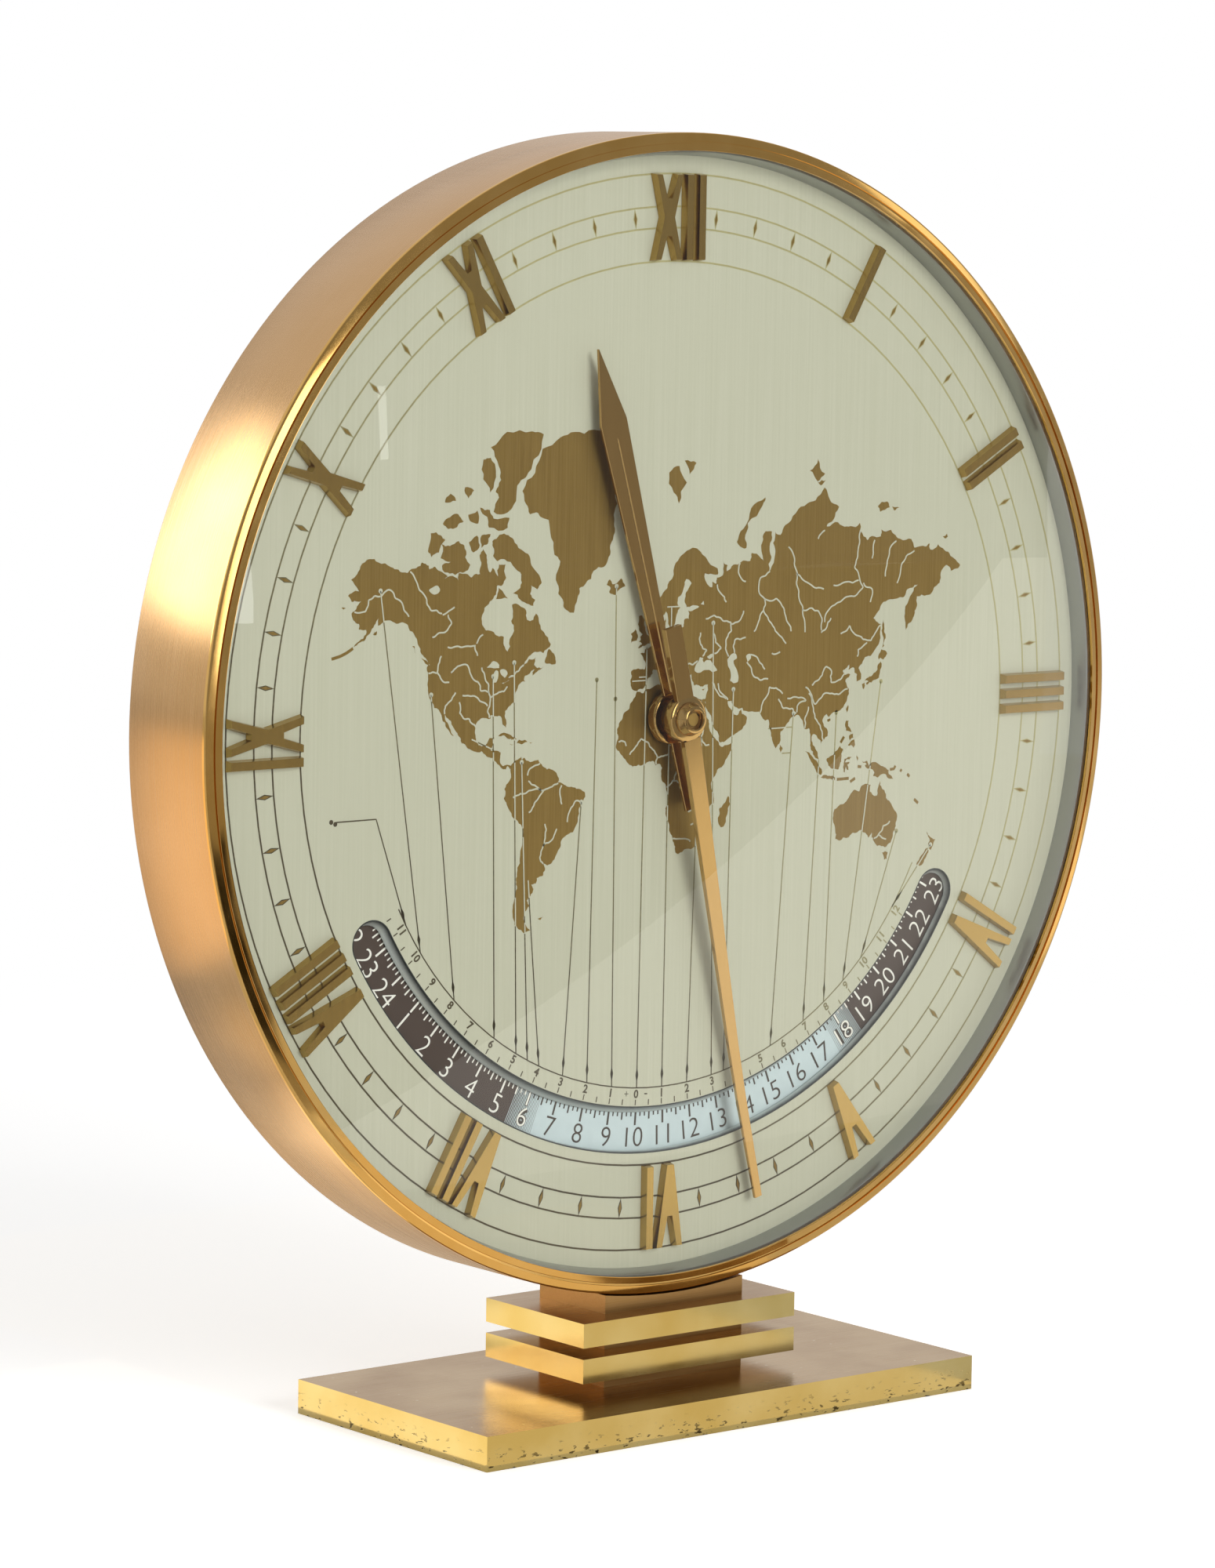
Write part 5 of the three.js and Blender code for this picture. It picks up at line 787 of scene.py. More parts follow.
def ribbon(points, width):
    """A line of the given width as one printed mark."""
    left, right = [], []
    for i, (x, z) in enumerate(points):
        ax, az = points[max(i - 1, 0)]
        bx, bz = points[min(i + 1, len(points) - 1)]
        length = math.hypot(bx - ax, bz - az)
        nx, nz = (az - bz) / length * width / 2, (bx - ax) / length * width / 2
        left.append((x + nx, z + nz))
        right.append((x - nx, z - nz))
    return left + right, between(len(left))


def between(count):
    """Faces of a mark whose points are one side and then the other, count to a side."""
    return [(i, i + 1, count + i + 1, count + i) for i in range(count - 1)]


def printed(name, marks, lift, material, body, base_y):
    """A thin coat of print on a face at base_y: every mark stands its lift proud, as a closed solid."""
    mesh = bmesh.new()
    for points, faces in marks:
        corners = [mesh.verts.new((x, base_y - lift, AXIS_Z + z)) for x, z in points]
        for face in faces:
            mesh.faces.new([corners[i] for i in face])
    mesh.normal_update()
    bmesh.ops.reverse_faces(mesh, faces=[f for f in mesh.faces if f.normal.y > 0])
    bmesh.ops.scale(mesh, vec=(MM, MM, MM), verts=mesh.verts)
    data = bpy.data.meshes.new(name)
    mesh.to_mesh(data)
    mesh.free()
    data.materials.append(material)
    piece = bpy.data.objects.new(name, data)
    bpy.context.scene.collection.objects.link(piece)
    coat = piece.modifiers.new("coat", "SOLIDIFY")
    coat.thickness = lift * MM
    coat.offset = -1
    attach(piece, body)
    return piece


LAND_BROWNS = ("#8A6F37", "#9A7F45")
bare_brass = finish("grained_bare_brass")
# up-and-down graining of 0.1 mm, drawn 0.25 mm wide so that it shows, in strokes of 25 mm
grain = noise(bare_brass, (0.25, 0.25, 25), 3)
streak = ranged(bare_brass, grain, 0.3, 0.7)
tone = mixed(bare_brass, streak, *LAND_BROWNS)
rough = ranged(bare_brass, grain, 0.3, 0.7, 0.34, 0.5)
bump = add(bare_brass, "ShaderNodeBump", {"Height": grain, "Strength": 0.06, "Distance": 0.02 * MM})
surface(bare_brass, {"Base Color": tone, "Metallic": 0.8, "Roughness": rough, "Normal": bump})

land_outlines = [rugged(on_dial(pairs), True, 2) for pairs in LANDS]
lake_outlines = [softened(rugged(on_dial(pairs), True, 1), True) for pairs in LAKES]
chains = [ribbon(on_dial(pairs), CHAIN_WIDTH) for pairs in ISLAND_CHAINS]
land_marks = [outline(points) for points in land_outlines] + chains
printed("map_land", land_marks, PRINT, bare_brass, "case", DIAL_Y)
water_marks = [outline(points) for points in lake_outlines]
courses = [softened(rugged(on_dial(pairs), False, 2), False) for pairs in RIVERS]
water_marks += [ribbon(course, RIVER_WIDTH) for course in courses]
printed("map_waters", water_marks, 2 * PRINT, cream, "case", DIAL_Y)


# ---- Dial print: track, leader lines and offsets -----------------------------------------
# Fine lines screened on the lacquer in a bronze ink: the minute track, the leaders that tie places on
# the map to hours, and small numbers.  A painted sheen makes the ink pale gold high and right on the
# dial, and painted shade makes it brown low and left.

TRACK_RADII = (103.5, 111.0, 115.8, 123.2)
TRACK_WIDTH = 0.42
DIAMOND_R = 113.4
DIAMOND_HALF = (2.35, 0.62)
DIAMOND_HEART = (1.5, 0.38)
LEADER_WIDTH = 0.3
DOT_R = 0.55
# the offset in hours stands on an arc, 5 degrees to the hour, its zero 5 degrees left of 6 o'clock
OFFSET_R = 85.6
OFFSET_STEP, OFFSET_ZERO = 5, -5
OFFSET_ARC_HALF = 63
OFFSET_TICK = (88.3, 89.6)
OFFSET_TICK_WIDTH = 0.28
OFFSET_FIGURE_R = 87.0
OFFSET_FIGURE_TALL, OFFSET_SIGN_TALL = 2.0, 1.2
OFFSET_SIGN_SIDE = 1.9
ARROW_BACK = 3.0
ARROW_HALF = (1.9, 0.42)
INK_SHADE_AND_SHEEN = ("#473D2A", "#AFA878")

bronze_ink = finish("bronze_screen_ink")
place = add(bronze_ink, "ShaderNodeTexCoord", {}, 3)
# painted sheen and painted shade: the ink runs from brown low and left to pale gold high and right
slant = add(bronze_ink, "ShaderNodeVectorMath", {0: place, 1: (0.62, 0, 0.78)}, 1,
            operation="DOT_PRODUCT")
rise = ranged(bronze_ink, slant, (0.78 * AXIS_Z - 70) * MM, (0.78 * AXIS_Z + 45) * MM)
# pigment flecks of 0.6 mm
fleck = noise(bronze_ink, 0.6, 2)
fleck = ranged(bronze_ink, fleck, 0.3, 0.7, -0.12, 0.12)
painted_sheen_and_fleck = reckon(bronze_ink, "ADD", rise, fleck, use_clamp=True)
tone = mixed(bronze_ink, painted_sheen_and_fleck, *INK_SHADE_AND_SHEEN)
surface(bronze_ink, {"Base Color": tone, "Metallic": 0.25, "Roughness": 0.45})


def arc(radius, width, start, end, step=3):
    """A line round the dial's middle between two angles from 6 o'clock, in degrees."""
    count = max(2, round(abs(end - start) / step))
    angles = [math.radians(start + (end - start) * i / count) for i in range(count + 1)]
    outer = [from_bottom(radius + width / 2, angle) for angle in angles]
    inner = [from_bottom(radius - width / 2, angle) for angle in angles]
    return outer + inner, between(count + 1)


def spoke(inner, outer, angle, width):
    """A short radial line at an angle from 6 o'clock, in degrees."""
    turn_angle = math.radians(angle)
    return ribbon([from_bottom(inner, turn_angle), from_bottom(outer, turn_angle)], width)


def diamond(x, z, along, across, lean):
    """A four-cornered mark, its long axis leaning by an angle from upright."""
    up, side = (math.sin(lean), math.cos(lean)), (math.cos(lean), -math.sin(lean))
    corners = []
    for a, s in ((along, 0), (0, across), (-along, 0), (0, -across)):
        corners.append((x + a * up[0] + s * side[0], z + a * up[1] + s * side[1]))
    return outline(corners)


glyph_store = {}


def number(text, height, x, z, lean, weight=-0.012):
    """A number as one mark, middle at x, z, its top leaning by an angle from upright."""
    if (text, weight) not in glyph_store:
        curve = bpy.data.curves.new("figure", "FONT")
        curve.body = text
        curve.offset = weight
        curve.resolution_u = 4
        writer = bpy.data.objects.new("figure", curve)
        bpy.context.scene.collection.objects.link(writer)
        bpy.context.view_layer.update()
        shape = writer.evaluated_get(bpy.context.evaluated_depsgraph_get()).to_mesh()
        points = [(v.co.x, v.co.y) for v in shape.vertices]
        faces = [tuple(polygon.vertices) for polygon in shape.polygons]
        bpy.data.objects.remove(writer)
        bpy.data.curves.remove(curve)
        low = [min(p[i] for p in points) for i in (0, 1)]
        high = [max(p[i] for p in points) for i in (0, 1)]
        tall = max(high[1] - low[1], 0.3)
        middle = [(a + b) / 2 for a, b in zip(low, high)]
        points = [((p[0] - middle[0]) / tall, (p[1] - middle[1]) / tall) for p in points]
        glyph_store[text, weight] = (points, faces)
    points, faces = glyph_store[text, weight]
    c, s = math.cos(lean), math.sin(lean)
    spun = [(x + height * (c * px + s * pz), z + height * (c * pz - s * px)) for px, pz in points]
    return spun, faces


track_marks = []
for radius in TRACK_RADII:
    track_marks += [arc(radius, TRACK_WIDTH, 0, 180), arc(radius, TRACK_WIDTH, 180, 360)]
heart_marks = []
for minute in range(60):
    if minute % 5:
        turn_angle = math.radians(6 * minute)
        x, z = from_bottom(DIAMOND_R, turn_angle)
        track_marks.append(diamond(x, z, *DIAMOND_HALF, -turn_angle))
        heart_marks.append(diamond(x, z, *DIAMOND_HEART, -turn_angle))
printed("minute_track", track_marks, PRINT, bronze_ink, "case", DIAL_Y)
printed("minute_track_hearts", heart_marks, 2 * PRINT, bare_brass, "case", DIAL_Y)


def inside(points, x, z):
    """Whether a dial point lies within an outline."""
    hit = False
    for (ax, az), (bx, bz) in zip(points, points[1:] + points[:1]):
        if (az > z) != (bz > z) and x < ax + (bx - ax) * (z - az) / (bz - az):
            hit = not hit
    return hit


def pointer(offset):
    """The foot of an hour offset's leader on the offset arc."""
    return from_bottom(OFFSET_R, math.radians(OFFSET_STEP * offset + OFFSET_ZERO))


LEADERS = (
    [(-93.6, -18.5), (-82.7, -18.5), pointer(-11)], [(-82.2, 31.7), pointer(-10)],
    [(-68, 8.2), pointer(-8)], [(-50.7, 11.5), pointer(-6)], [(-56.5, -2.3), (-50.3, -5)],
    [(-44.8, 14.3), pointer(-5)], [(-42.3, -8.2), pointer(-4.5)], [(-40, -35), pointer(-4)],
    [(-25, -18.2), pointer(-3)], [(-21, 9.3), pointer(-2)], [(-15.7, 30.3), pointer(-1)],
    [(-6.5, 16), pointer(0)], [(-8.7, 9.3), (-6.6, 9.3)], [(-10.7, 8.5), (-6.6, 8.5)],
    [(0.6, 25), pointer(1)], [(-0.7, 25), (3.3, 25)], [(9.7, 3), pointer(2)],
    [(13.1, 20.8), pointer(3)], [(19.5, 5.2), pointer(3.5)], [(38, -1.3), pointer(5.5)],
    [(30.3, -4.5), (37.7, -4.5)], [(34.7, -10.5), (37.3, -10.5)], [(46.1, -12.7), pointer(7)],
    [(51.3, -1.8), pointer(8)], [(65.1, 4.9), pointer(9)], [(71, -31), pointer(10)],
    [(82, -35), pointer(12)],
)
PLACE_DOTS = (
    (-94.9, -18.4), (-93.8, -18.9), (-82.2, 31.7), (-68, 8.2), (-50.7, 11.5), (-44.8, 14.3),
    (-42.3, -8.2), (-25, -18.2), (-21, 9.3), (-15.7, 30.3), (-15.5, 4.7), (13.1, 20.8), (19.5, 5.2),
    (38, -1.3), (51.3, -1.8), (65.1, 4.9), (71, -31), (82, -35),
)
land_boxes = []
for points in land_outlines:
    xs, zs = [p[0] for p in points], [p[1] for p in points]
    land_boxes.append((min(xs), max(xs), min(zs), max(zs), points))


def on_land(x, z):
    return any(a <= x <= b and c <= z <= d and inside(points, x, z)
               for a, b, c, d, points in land_boxes)


sea_lines, land_lines = [], []
for leader in LEADERS:
    run, over_land = [], None
    for (ax, az), (bx, bz) in zip(leader, leader[1:]):
        count = max(1, round(math.hypot(bx - ax, bz - az) / 0.5))
        for i in range(count + 1):
            x, z = ax + (bx - ax) * i / count, az + (bz - az) * i / count
            here = on_land(x, z)
            if not run or run[-1] != (x, z):
                run.append((x, z))
            if over_land is None:
                over_land = here
            elif here != over_land:
                (land_lines if over_land else sea_lines).append(ribbon(run, LEADER_WIDTH))
                run, over_land = [(x, z)], here
    if len(run) > 1:
        (land_lines if over_land else sea_lines).append(ribbon(run, LEADER_WIDTH))
turns = [i * math.pi / 6 for i in range(12)]
for x, z in PLACE_DOTS:
    dot = outline([(x + DOT_R * math.sin(way), z + DOT_R * math.cos(way)) for way in turns])
    (land_lines if on_land(x, z) else sea_lines).append(dot)
for leader in LEADERS:
    (ax, az), (bx, bz) = leader[-2:]
    if math.hypot(bx, bz) > OFFSET_R - 0.1 and bz < -40:
        length = math.hypot(bx - ax, bz - az)
        ux, uz = (bx - ax) / length, (bz - az) / length
        x, z = bx - ARROW_BACK * ux, bz - ARROW_BACK * uz
        sea_lines.append(diamond(x, z, *ARROW_HALF, math.atan2(ux, uz)))
sea_lines.append(arc(OFFSET_R, LEADER_WIDTH, -OFFSET_ARC_HALF, OFFSET_ARC_HALF))
for offset in range(-11, 13):
    angle = OFFSET_STEP * offset + OFFSET_ZERO
    turn_angle = math.radians(angle)
    for way in (angle, angle - OFFSET_STEP / 2):
        sea_lines.append(spoke(*OFFSET_TICK, way, OFFSET_TICK_WIDTH))
    x, z = from_bottom(OFFSET_FIGURE_R, turn_angle)
    sea_lines.append(number(str(abs(offset)), OFFSET_FIGURE_TALL, x, z, -turn_angle, 0.03))
    if offset == 0:
        for text, side in (("+", -OFFSET_SIGN_SIDE), ("-", OFFSET_SIGN_SIDE)):
            x, z = from_bottom(OFFSET_FIGURE_R, turn_angle + math.radians(side))
            sea_lines.append(number(text, OFFSET_SIGN_TALL, x, z, -turn_angle))
printed("leaders_on_sea", sea_lines, PRINT, bronze_ink, "case", DIAL_Y)
printed("leaders_on_land", land_lines, 3 * PRINT, cream, "case", DIAL_Y)


# ---- Applied numerals --------------------------------------------------------------------
# Brass strokes, sawn, bevelled and polished, pinned through the dial one by one.

NUMERAL_TONES = ("#AF8F50", "#C0A260")
NUMERAL_EDGE = 0.08
numeral_brass = finish("polished_brass_numerals")
# polishing streaks of 0.4 mm, running up and down
grained(numeral_brass, noise(numeral_brass, (0.4, 0.4, 20), 3), NUMERAL_TONES, (0.16, 0.24))
for name in nodes:
    if name.startswith("numeral_"):
        dress(name, numeral_brass, NUMERAL_EDGE)


# ---- Hour ring ---------------------------------------------------------------------------
# A printed aluminium disc behind the dial that turns once in three days: pale blue day, dark brown
# night, hours and ticks printed over them.  It rides on the hour wheel's pipe.

RING_Y = ends("day_disc")[0].y
RING_DAY = ("#BBCACB", "#C9D8D8")
RING_NIGHT = ("#3E2F28", "#45362E")
HOUR_STEP = 5
RING_HOUR = 10.72
RING_PRINT = (84.5, 102.6)
NIGHT = (18.5, 29.5)
HATCH_LINES = 18
HATCH_STEP = 0.26
HATCH_WIDTH, HATCH_THINNING = 0.27, 0.013
FIGURE_R = 97.3
FIGURE_TALL = 4.5
TICK_FOOT = 90.2
# the radius that a tick reaches and its width: on the hour, on the half hour, between
HOUR_TICK, HALF_TICK, SHORT_TICK = (94.6, 0.5), (93.3, 0.4), (92.5, 0.34)
RIM_TICK = (90.0, 94.8)
RIM_TICK_WIDTH = 0.9
RIM_GROWTH = 1.03


def screened(name, tones, size):
    """Screen-printed ink with the fine unevenness of the mesh, at a size in mm."""
    ink = finish(name)
    grained(ink, noise(ink, size, 3), tones, (0.4, 0.6), metal=0)
    return ink


day_ink = screened("pale_blue_screen_ink", RING_DAY, 2.5)
night_ink = screened("dark_brown_screen_ink", RING_NIGHT, 2.5)
white_ink = screened("white_screen_ink", ("#E4E2D6", "#F2F0E6"), 1.5)
dial_ink = screened("brown_black_screen_ink", ("#2E241C", "#3E3228"), 1.5)
dress("day_disc", day_ink)


def ring_angle(hour):
    return HOUR_STEP * (hour - RING_HOUR)


night_marks, pale_marks, dark_marks, rim_marks = [], [], [], []
for day in range(3):
    start, end = [ring_angle(24 * day + hour) for hour in NIGHT]
    night_marks.append(arc(sum(RING_PRINT) / 2, RING_PRINT[1] - RING_PRINT[0], start, end, 2))
    # dusk and dawn: hatching that thins out within an hour
    for i in range(HATCH_LINES):
        for angle in (start - HATCH_STEP * (i + 0.7), end + HATCH_STEP * (i + 0.7)):
            night_marks.append(spoke(*RING_PRINT, angle, HATCH_WIDTH - HATCH_THINNING * i))
for hour in range(72):
    shown = hour % 24 or 24
    turn_angle = math.radians(ring_angle(hour))
    x, z = from_bottom(FIGURE_R, turn_angle)
    figure_marks = pale_marks if shown >= 18 or shown <= 6 else dark_marks
    figure_marks.append(number(str(shown), FIGURE_TALL, x, z, -turn_angle))
    if shown in (6, 18):
        rim_marks.append(number(str(shown), FIGURE_TALL * RIM_GROWTH, x, z, -turn_angle, 0.06))
        rim_marks.append(spoke(*RIM_TICK, ring_angle(hour), RIM_TICK_WIDTH))
    for part in range(6):
        angle = ring_angle(hour) + HOUR_STEP * part / 6
        late = shown + part / 6
        tick_marks = pale_marks if late >= 18 or late <= 6 else dark_marks
        reach, width = {0: HOUR_TICK, 3: HALF_TICK}.get(part, SHORT_TICK)
        tick_marks.append(spoke(TICK_FOOT, reach, angle, width))
printed("ring_night", night_marks, PRINT, night_ink, "hour_ring", RING_Y)
printed("ring_figure_rims", rim_marks, 1.5 * PRINT, dial_ink, "hour_ring", RING_Y)
printed("ring_pale_figures", pale_marks, 2 * PRINT, white_ink, "hour_ring", RING_Y)
printed("ring_dark_figures", dark_marks, 2 * PRINT, dial_ink, "hour_ring", RING_Y)


# ---- Movement ----------------------------------------------------------------------------
# Hidden behind the dial: a brass plate with studs, machined brass wheels, a moulded ABS housing, a
# plated motor can, a wrapped AA cell and two plated contact strips.

WHEEL_TONES = ("#A98749", "#C6A55F")
ABS_TONES = ("#242424", "#333332")
SLEEVE_TONES = ("#45474A", "#585A5D")

machined_brass = finish("machined_brass_wheels")
# cutter marks 8 mm long and 0.4 mm wide
cutter = round_noise(machined_brass, 8, 0.4, 2)
grained(machined_brass, cutter, WHEEL_TONES, (0.3, 0.45))
for name in ("front_plate", "centre_arbor", "minute_wheel", "hour_wheel", "ring_idler", "motor_pinion"):
    dress(name, machined_brass)

moulded_abs = finish("moulded_black_abs")
# spark-eroded texture of 0.8 mm
sparked = noise(moulded_abs, 0.8, 3)
grained(moulded_abs, sparked, ABS_TONES, (0.45, 0.65), metal=0, bump=(0.3, 0.04))
dress("movement_housing", moulded_abs)
for name in ("motor", "contact_spring_plus", "contact_spring_minus"):
    dress(name, zinc_steel)
dress("battery", screened("printed_battery_sleeve", SLEEVE_TONES, 6))


# ---- Hour hand ---------------------------------------------------------------------------
# A spear of sheet brass, widening to its shoulder, with a scribed line down its middle and a square
# tail.  Its collar is pressed on the hour wheel's pipe.

HOUR_ANGLE = math.radians(343.875)
HAND_TONES = ("#B8945A", "#C6A268")
HAND_EDGE = 0.12
# a groove down the middle of a hand: its half width and depth; plain stands for none
SCRIBED, PLAIN = (0.25, 0.22), (0.02, 0.0)
HOUR_LIFTS = (3.0, 2.4)
# (distance from the axis, half width, groove)
HOUR_BLADE = ((5.6, 1.95, SCRIBED), (66, 3.75, SCRIBED), (66.6, 3.77, PLAIN), (70.3, 3.85, PLAIN),
              (87.3, 0.1, PLAIN))
HOUR_TAIL = ((5.2, 2.7, SCRIBED), (21.9, 2.7, SCRIBED), (22, 2.6, SCRIBED))
# radius, bore, front lift, back lift
HOUR_COLLAR = (6.4, 4.41, 3.05, 0.8)
# (distance in from a collar's side, distance back from its front)
COLLAR_STEPS = ((0, 0.6), (0.12, 0.3), (0.35, 0.1), (0.7, 0))
COLLAR_TURN_STEPS = 96

hand_brass = finish("lacquered_hand_brass")
# rubbing marks of 0.3 mm, running up and down
grained(hand_brass, noise(hand_brass, (0.3, 0.3, 15), 3), HAND_TONES, (0.08, 0.14))


def strip(mesh, angle, stations):
    """A bar along a hand through stations of (distance, half width, front lift, back lift, groove's
    half width, groove's depth)."""
    along, across = (math.sin(angle), math.cos(angle)), (math.cos(angle), -math.sin(angle))
    rows = []
    for r, half, top, back, groove, depth in stations:
        edge = min(HAND_EDGE, half / 2)
        section = [(-half, back), (-half, top - edge), (-half + edge, top), (-groove, top),
                   (0, top - depth), (groove, top), (half - edge, top), (half, top - edge),
                   (half, back)]
        row = []
        for side, lift in section:
            x, z = r * along[0] + side * across[0], r * along[1] + side * across[1]
            row.append(mesh.verts.new(Vector((x, DIAL_Y - lift, AXIS_Z + z)) * MM))
        rows.append(row)
    skin(mesh, rows)
    mesh.faces.new(rows[0])
    mesh.faces.new(rows[-1])


def collar(mesh, radius, bore, top, back):
    """A bored disc with a broken front edge, on the hands' axis."""
    front = DIAL_Y - top
    rounded = [(radius - inwards, front + sunk) for inwards, sunk in COLLAR_STEPS]
    turn(mesh, [(radius, DIAL_Y - back), *rounded, (bore, front), (bore, DIAL_Y - back)],
         COLLAR_TURN_STEPS)


mesh = bmesh.new()
for angle, stations in ((HOUR_ANGLE, HOUR_BLADE), (HOUR_ANGLE + math.pi, HOUR_TAIL)):
    strip(mesh, angle, [(r, half, *HOUR_LIFTS, *groove) for r, half, groove in stations])
collar(mesh, *HOUR_COLLAR)
hour_hand = as_piece(mesh, "spear_hour_hand", hand_brass, "hour_train", 25)
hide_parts("hour_hand")


# ---- Minute hand and nut -----------------------------------------------------------------
# A slim tapering bar of thicker brass, bent down towards its tip so that it passes just over the
# numerals, held on the arbor by a round nut with a sunk face.

MINUTE_ANGLE = math.radians(166.5)
MINUTE_FOOT, MINUTE_TIP = 4.9, 117
MINUTE_HALF, MINUTE_TAPER = 2.4, 1.35
# lift of the front at the foot and, past the bend, over the numerals
MINUTE_TOP, MINUTE_LOW = 7.7, 3.3
MINUTE_THICK, MINUTE_THINNING = 1.4, 0.6
BEND_START, BEND_RUN = 5, 80.7
MINUTE_STEPS = 9
MINUTE_TAIL = (4.6, 21.7)
MINUTE_TAIL_BACK = 6.3
MINUTE_COLLAR = (5.4, 2.7, 7.75, 5.3)

mesh = bmesh.new()
minute_stations = []
for i in range(MINUTE_STEPS + 1):
    share = i / MINUTE_STEPS
    r = MINUTE_FOOT + (MINUTE_TIP - MINUTE_FOOT) * share
    drop = min(1, max(0, (r - BEND_START) / BEND_RUN))
    top = MINUTE_TOP - (MINUTE_TOP - MINUTE_LOW) * drop
    thick = MINUTE_THICK - MINUTE_THINNING * drop
    minute_stations.append((r, MINUTE_HALF - MINUTE_TAPER * share, top, top - thick, *PLAIN))
strip(mesh, MINUTE_ANGLE, minute_stations)
strip(mesh, MINUTE_ANGLE + math.pi,
      [(r, MINUTE_HALF, MINUTE_TOP, MINUTE_TAIL_BACK, *PLAIN) for r in MINUTE_TAIL])
collar(mesh, *MINUTE_COLLAR)
minute_hand = as_piece(mesh, "bar_minute_hand", hand_brass, "minute_train", 25)
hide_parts("minute_hand")

NUT_R, NUT_TOP = 3.9, 10.2
# (radius, distance back from the nut's front)
NUT_STEPS = ((NUT_R, 2.5), (NUT_R, 2.0), (3.8, 1.85), (3.25, 0.4), (3.1, 0.12), (2.85, 0.0),
             (2.45, 0.0), (2.25, 0.15), (2.1, 1.2), (1.55, 1.2), (1.55, 2.5))
nut_profile = [(radius, DIAL_Y - NUT_TOP + back) for radius, back in NUT_STEPS]
nut = turned("sunk_hand_nut", nut_profile, hand_brass, "minute_train")
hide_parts("hand_nut")


# ---- Back --------------------------------------------------------------------------------
# A brushed brass cover held by three screws, a black battery door on two hinge pins and a knurled
# knob that sets the hands.

COVER_TONES = ("#B08A55", "#CDA970")
COVER_EDGE, DOOR_EDGE, KNOB_EDGE = 0.1, 0.2, 0.15
cover_brass = finish("brushed_brass_cover")
# graining of 0.1 mm, drawn 0.4 mm wide so that it shows, in strokes of 60 mm
grain = noise(cover_brass, (60, 0.4, 0.4), 3)
grained(cover_brass, grain, COVER_TONES, (0.28, 0.42), spread=(0.3, 0.7), bump=(0.2, 0.02))
dress("rear_cover", cover_brass, COVER_EDGE)
for name in ("rear_screw_1", "rear_screw_2", "rear_screw_3"):
    dress(name, zinc_steel)
dress("battery_door", moulded_abs, DOOR_EDGE)
dress("setting_knob", moulded_abs, KNOB_EDGE)


# ---- Studio ------------------------------------------------------------------------------
# A white table that runs into a white room, one large soft lamp before the dial, and cards that only
# reflections see: bright ones round the clock, warm and dim ones and a dark one on the table.

AMBIENT = 0.45
world = bpy.data.worlds.new("studio")
bpy.context.scene.world = world
world.use_nodes = True
# the eye sees white; metal sees a bright room behind the clock and a dim one behind the camera
way = add(world, "ShaderNodeTexCoord", {}, 0)
back = add(world, "ShaderNodeSeparateXYZ", {0: way}, 1)
room = ranged(world, back, -0.5, 0.45, 0.3, 0.74)
rays = [add(world, "ShaderNodeLightPath", {}, i) for i in (0, 3, 6)]
seen = reckon(world, "ADD", rays[0], rays[2], use_clamp=True)
level = add(world, "ShaderNodeMix", {0: rays[1], 2: AMBIENT, 3: room})
level = add(world, "ShaderNodeMix", {0: seen, 2: level, 3: 1.0})
wire(world, world.node_tree.nodes["Background"], {"Color": linear("#FFFFFF"), "Strength": level})

FLOOR_HALF = 4.0
FLOOR_WHITES = ("#F6F6F5", "#FAFAF9")
FLOOR_GLOW = 0.5
FADE_START, FADE_END = 0.25, 0.7


def laid(name, spots, faces, material):
    """A sheet of the studio, with corners in metres."""
    data = bpy.data.meshes.new(name)
    data.from_pydata(spots, [], faces)
    data.materials.append(material)
    sheet = bpy.data.objects.new(name, data)
    bpy.context.scene.collection.objects.link(sheet)
    return sheet


floor_white = finish("white_table_laminate")
place = add(floor_white, "ShaderNodeTexCoord", {}, 3)
# orange-peel of the laminate, about 2 mm
peel = noise(floor_white, 2, 2)
tone = mixed(floor_white, peel, *FLOOR_WHITES)
camera_ray = add(floor_white, "ShaderNodeLightPath", {}, 0)
glow = reckon(floor_white, "MULTIPLY", camera_ray, FLOOR_GLOW)
surface(floor_white, {"Base Color": tone, "Roughness": 0.6, "Specular IOR Level": 0.1,
                      "Emission Color": linear("#FFFFFF"), "Emission Strength": glow})
# away from the clock the table runs into the white of the room
reach = add(floor_white, "ShaderNodeVectorMath", {0: place}, 1, operation="LENGTH")
fade = add(floor_white, "ShaderNodeMapRange", {0: reach, 1: FADE_START, 2: FADE_END},
           interpolation_type="SMOOTHSTEP")
fade = reckon(floor_white, "MULTIPLY", fade, camera_ray)
white = add(floor_white, "ShaderNodeEmission", {"Color": linear("#FFFFFF"), "Strength": 1})
lit = floor_white.node_tree.nodes["Principled BSDF"].outputs[0]
blend = add(floor_white, "ShaderNodeMixShader", {0: fade, 1: lit, 2: white})
wire(floor_white, floor_white.node_tree.nodes["Material Output"], {"Surface": blend})
sides = ((-1, -1), (1, -1), (1, 1), (-1, 1))
spots = [(sx * FLOOR_HALF, sy * FLOOR_HALF, 0) for sx, sy in sides]
floor = laid("floor", spots, [(0, 1, 2, 3)], floor_white)

# cards on a ring round the clock: from and to, in degrees from straight behind towards the right,
# lower and upper edge in metres, colour, strength
CARD_R = 1.3
RING_CARDS = (
    (-44, -17, 0.33, 0.9, "#FFFFFF", 4.4),
    (116, 124.3, 0.0, 0.7, "#FFFFFF", 1.5),
    (154.2, 154.55, 0.25, 0.31, "#FFFFFF", 3.5),
    (160, 176, 0.12, 0.52, "#FFFFFF", 4.0),
)
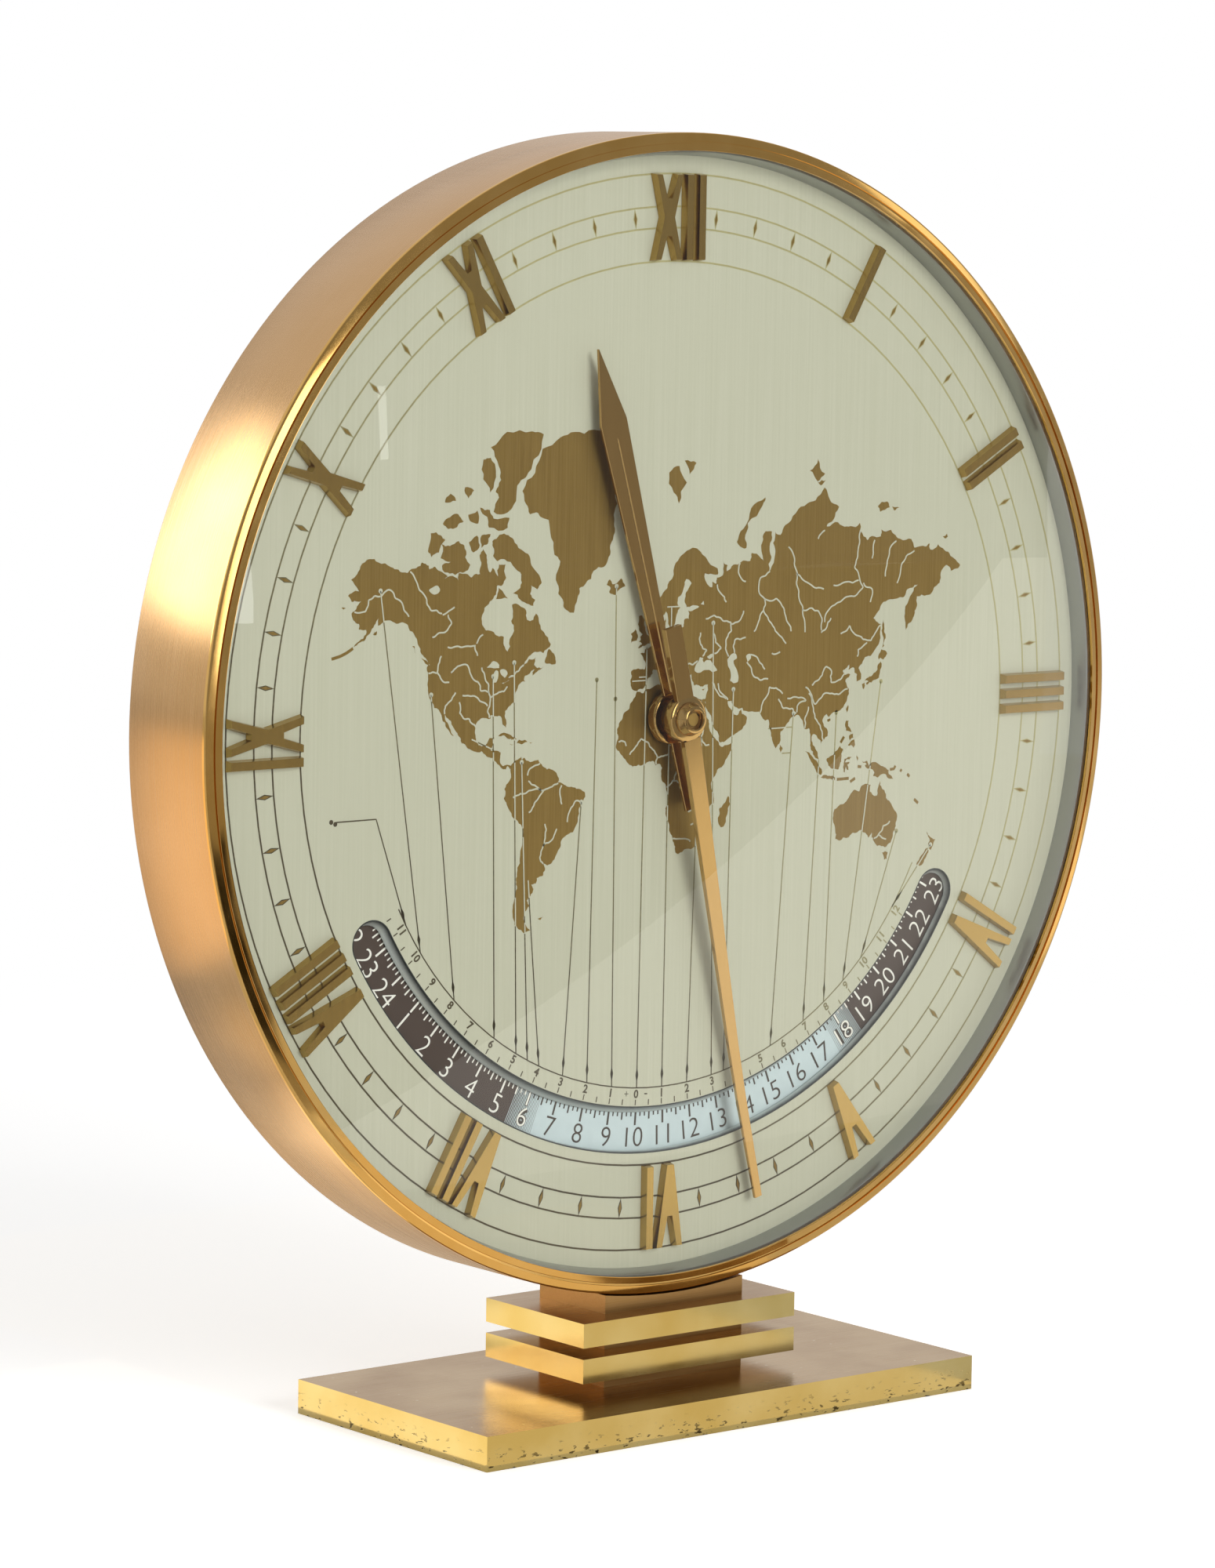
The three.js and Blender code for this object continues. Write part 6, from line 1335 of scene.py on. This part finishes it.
# cards just above the table, one over the other: four corners in metres, colour, strength
CARD_LIFT, CARD_LAYER = 0.0004, 0.0001
TABLE_CARDS = (
    (((-0.12, -0.04), (-0.075, -0.04), (-0.075, 0.11), (-0.12, 0.11)), "#FFF3DC", 1.5),
    (((-0.17, 0.05), (-0.12, 0.05), (-0.12, 0.17), (-0.17, 0.17)), "#FFF3DC", 0.95),
    (((-0.075, 0.04), (0.10, 0.04), (0.10, 0.25), (-0.075, 0.25)), "#FFF3DC", 0.75),
    (((-0.07, -0.137), (0.075, -0.137), (0.075, -0.037), (-0.07, -0.037)), "#FFF3DC", 0.88),
    (((-0.30, 0.12), (-0.13, 0.25), (-0.8, 2.0), (-1.75, 1.2)), "#FFE9CC", 1.3),
    (((-0.056, -0.172), (4.175, -3.274), (1.22, -7.30), (-3.01, -4.20)), "#9C978C", 1.0),
    (((-0.056, -0.172), (0.60, -0.1385), (4.2, -2.5), (4.175, -3.274)), "#FFFBF2", 1.3),
    (((-0.10, -0.24), (0.0, -0.24), (0.06, -0.70), (-0.14, -0.70)), "#2E2A22", 1.0),
)


def card(name, spots, faces, colour, strength):
    """A glowing card that only reflections see."""
    paint = finish(name)
    paint.node_tree.nodes.remove(paint.node_tree.nodes["Principled BSDF"])
    glow = add(paint, "ShaderNodeEmission", {"Color": linear(colour), "Strength": strength})
    wire(paint, paint.node_tree.nodes["Material Output"], {"Surface": glow})
    sheet = laid(name, spots, faces, paint)
    for kind in ("camera", "diffuse", "transmission", "volume_scatter", "shadow"):
        setattr(sheet, f"visible_{kind}", False)


for i, (start, end, low, high, colour, strength) in enumerate(RING_CARDS):
    count = max(2, round((end - start) / 6))
    spots = []
    for step in range(count + 1):
        turn_angle = math.radians(start + (end - start) * step / count)
        x, y = CARD_R * math.sin(turn_angle), CARD_R * math.cos(turn_angle)
        spots += [(x, y, low), (x, y, high)]
    faces = [(2 * step, 2 * step + 2, 2 * step + 3, 2 * step + 1) for step in range(count)]
    card(f"ring_card_{i}", spots, faces, colour, strength)
for i, (corners, colour, strength) in enumerate(TABLE_CARDS):
    spots = [(x, y, CARD_LIFT + CARD_LAYER * i) for x, y in corners]
    card(f"table_card_{i}", spots, [(0, 1, 2, 3)], colour, strength)

# a soft box in front, its side and place in metres
SOFTBOX_SIDE = 1.1
SOFTBOX_WATTS = 30
SOFTBOX_PLACE = (0.25, -2.1, 0.9)
lamp = bpy.data.lights.new("front_softbox", "AREA")
lamp.shape = "RECTANGLE"
lamp.size, lamp.size_y = SOFTBOX_SIDE, SOFTBOX_SIDE
lamp.energy = SOFTBOX_WATTS
softbox = bpy.data.objects.new("front_softbox", lamp)
softbox.location = SOFTBOX_PLACE
aim = Vector((0, 0, AXIS_Z * MM)) - softbox.location
softbox.rotation_euler = aim.to_track_quat("-Z", "Y").to_euler()
softbox.visible_glossy = False
softbox.visible_camera = False
bpy.context.scene.collection.objects.link(softbox)

# the camera, worked out from the ellipses of the drum and the corners of the base: yaw, pitch and roll
# in degrees, place in mm
LENS, SENSOR = 127.4, 36
CAMERA_TURNS = (39.16, -6.47, 0.89)
CAMERA_PLACE = (-806.9, -975.5, 287.8)
lens = bpy.data.cameras.new("camera")
lens.lens = LENS
lens.sensor_width = SENSOR
camera = bpy.data.objects.new("camera", lens)
yaw, pitch, roll = [math.radians(angle) for angle in CAMERA_TURNS]
ahead = Vector((math.sin(yaw) * math.cos(pitch), math.cos(yaw) * math.cos(pitch), math.sin(pitch)))
right = Vector((math.cos(yaw), -math.sin(yaw), 0))
over = right.cross(ahead)
level_right = math.cos(roll) * right + math.sin(roll) * over
level_up = -math.sin(roll) * right + math.cos(roll) * over
matrix = camera.matrix_world.to_3x3()
matrix.col[0], matrix.col[1], matrix.col[2] = level_right, level_up, -ahead
camera.matrix_world = matrix.to_4x4()
camera.location = Vector(CAMERA_PLACE) * MM
bpy.context.scene.collection.objects.link(camera)
bpy.context.scene.camera = camera
bpy.context.scene.view_settings.view_transform = "Standard"
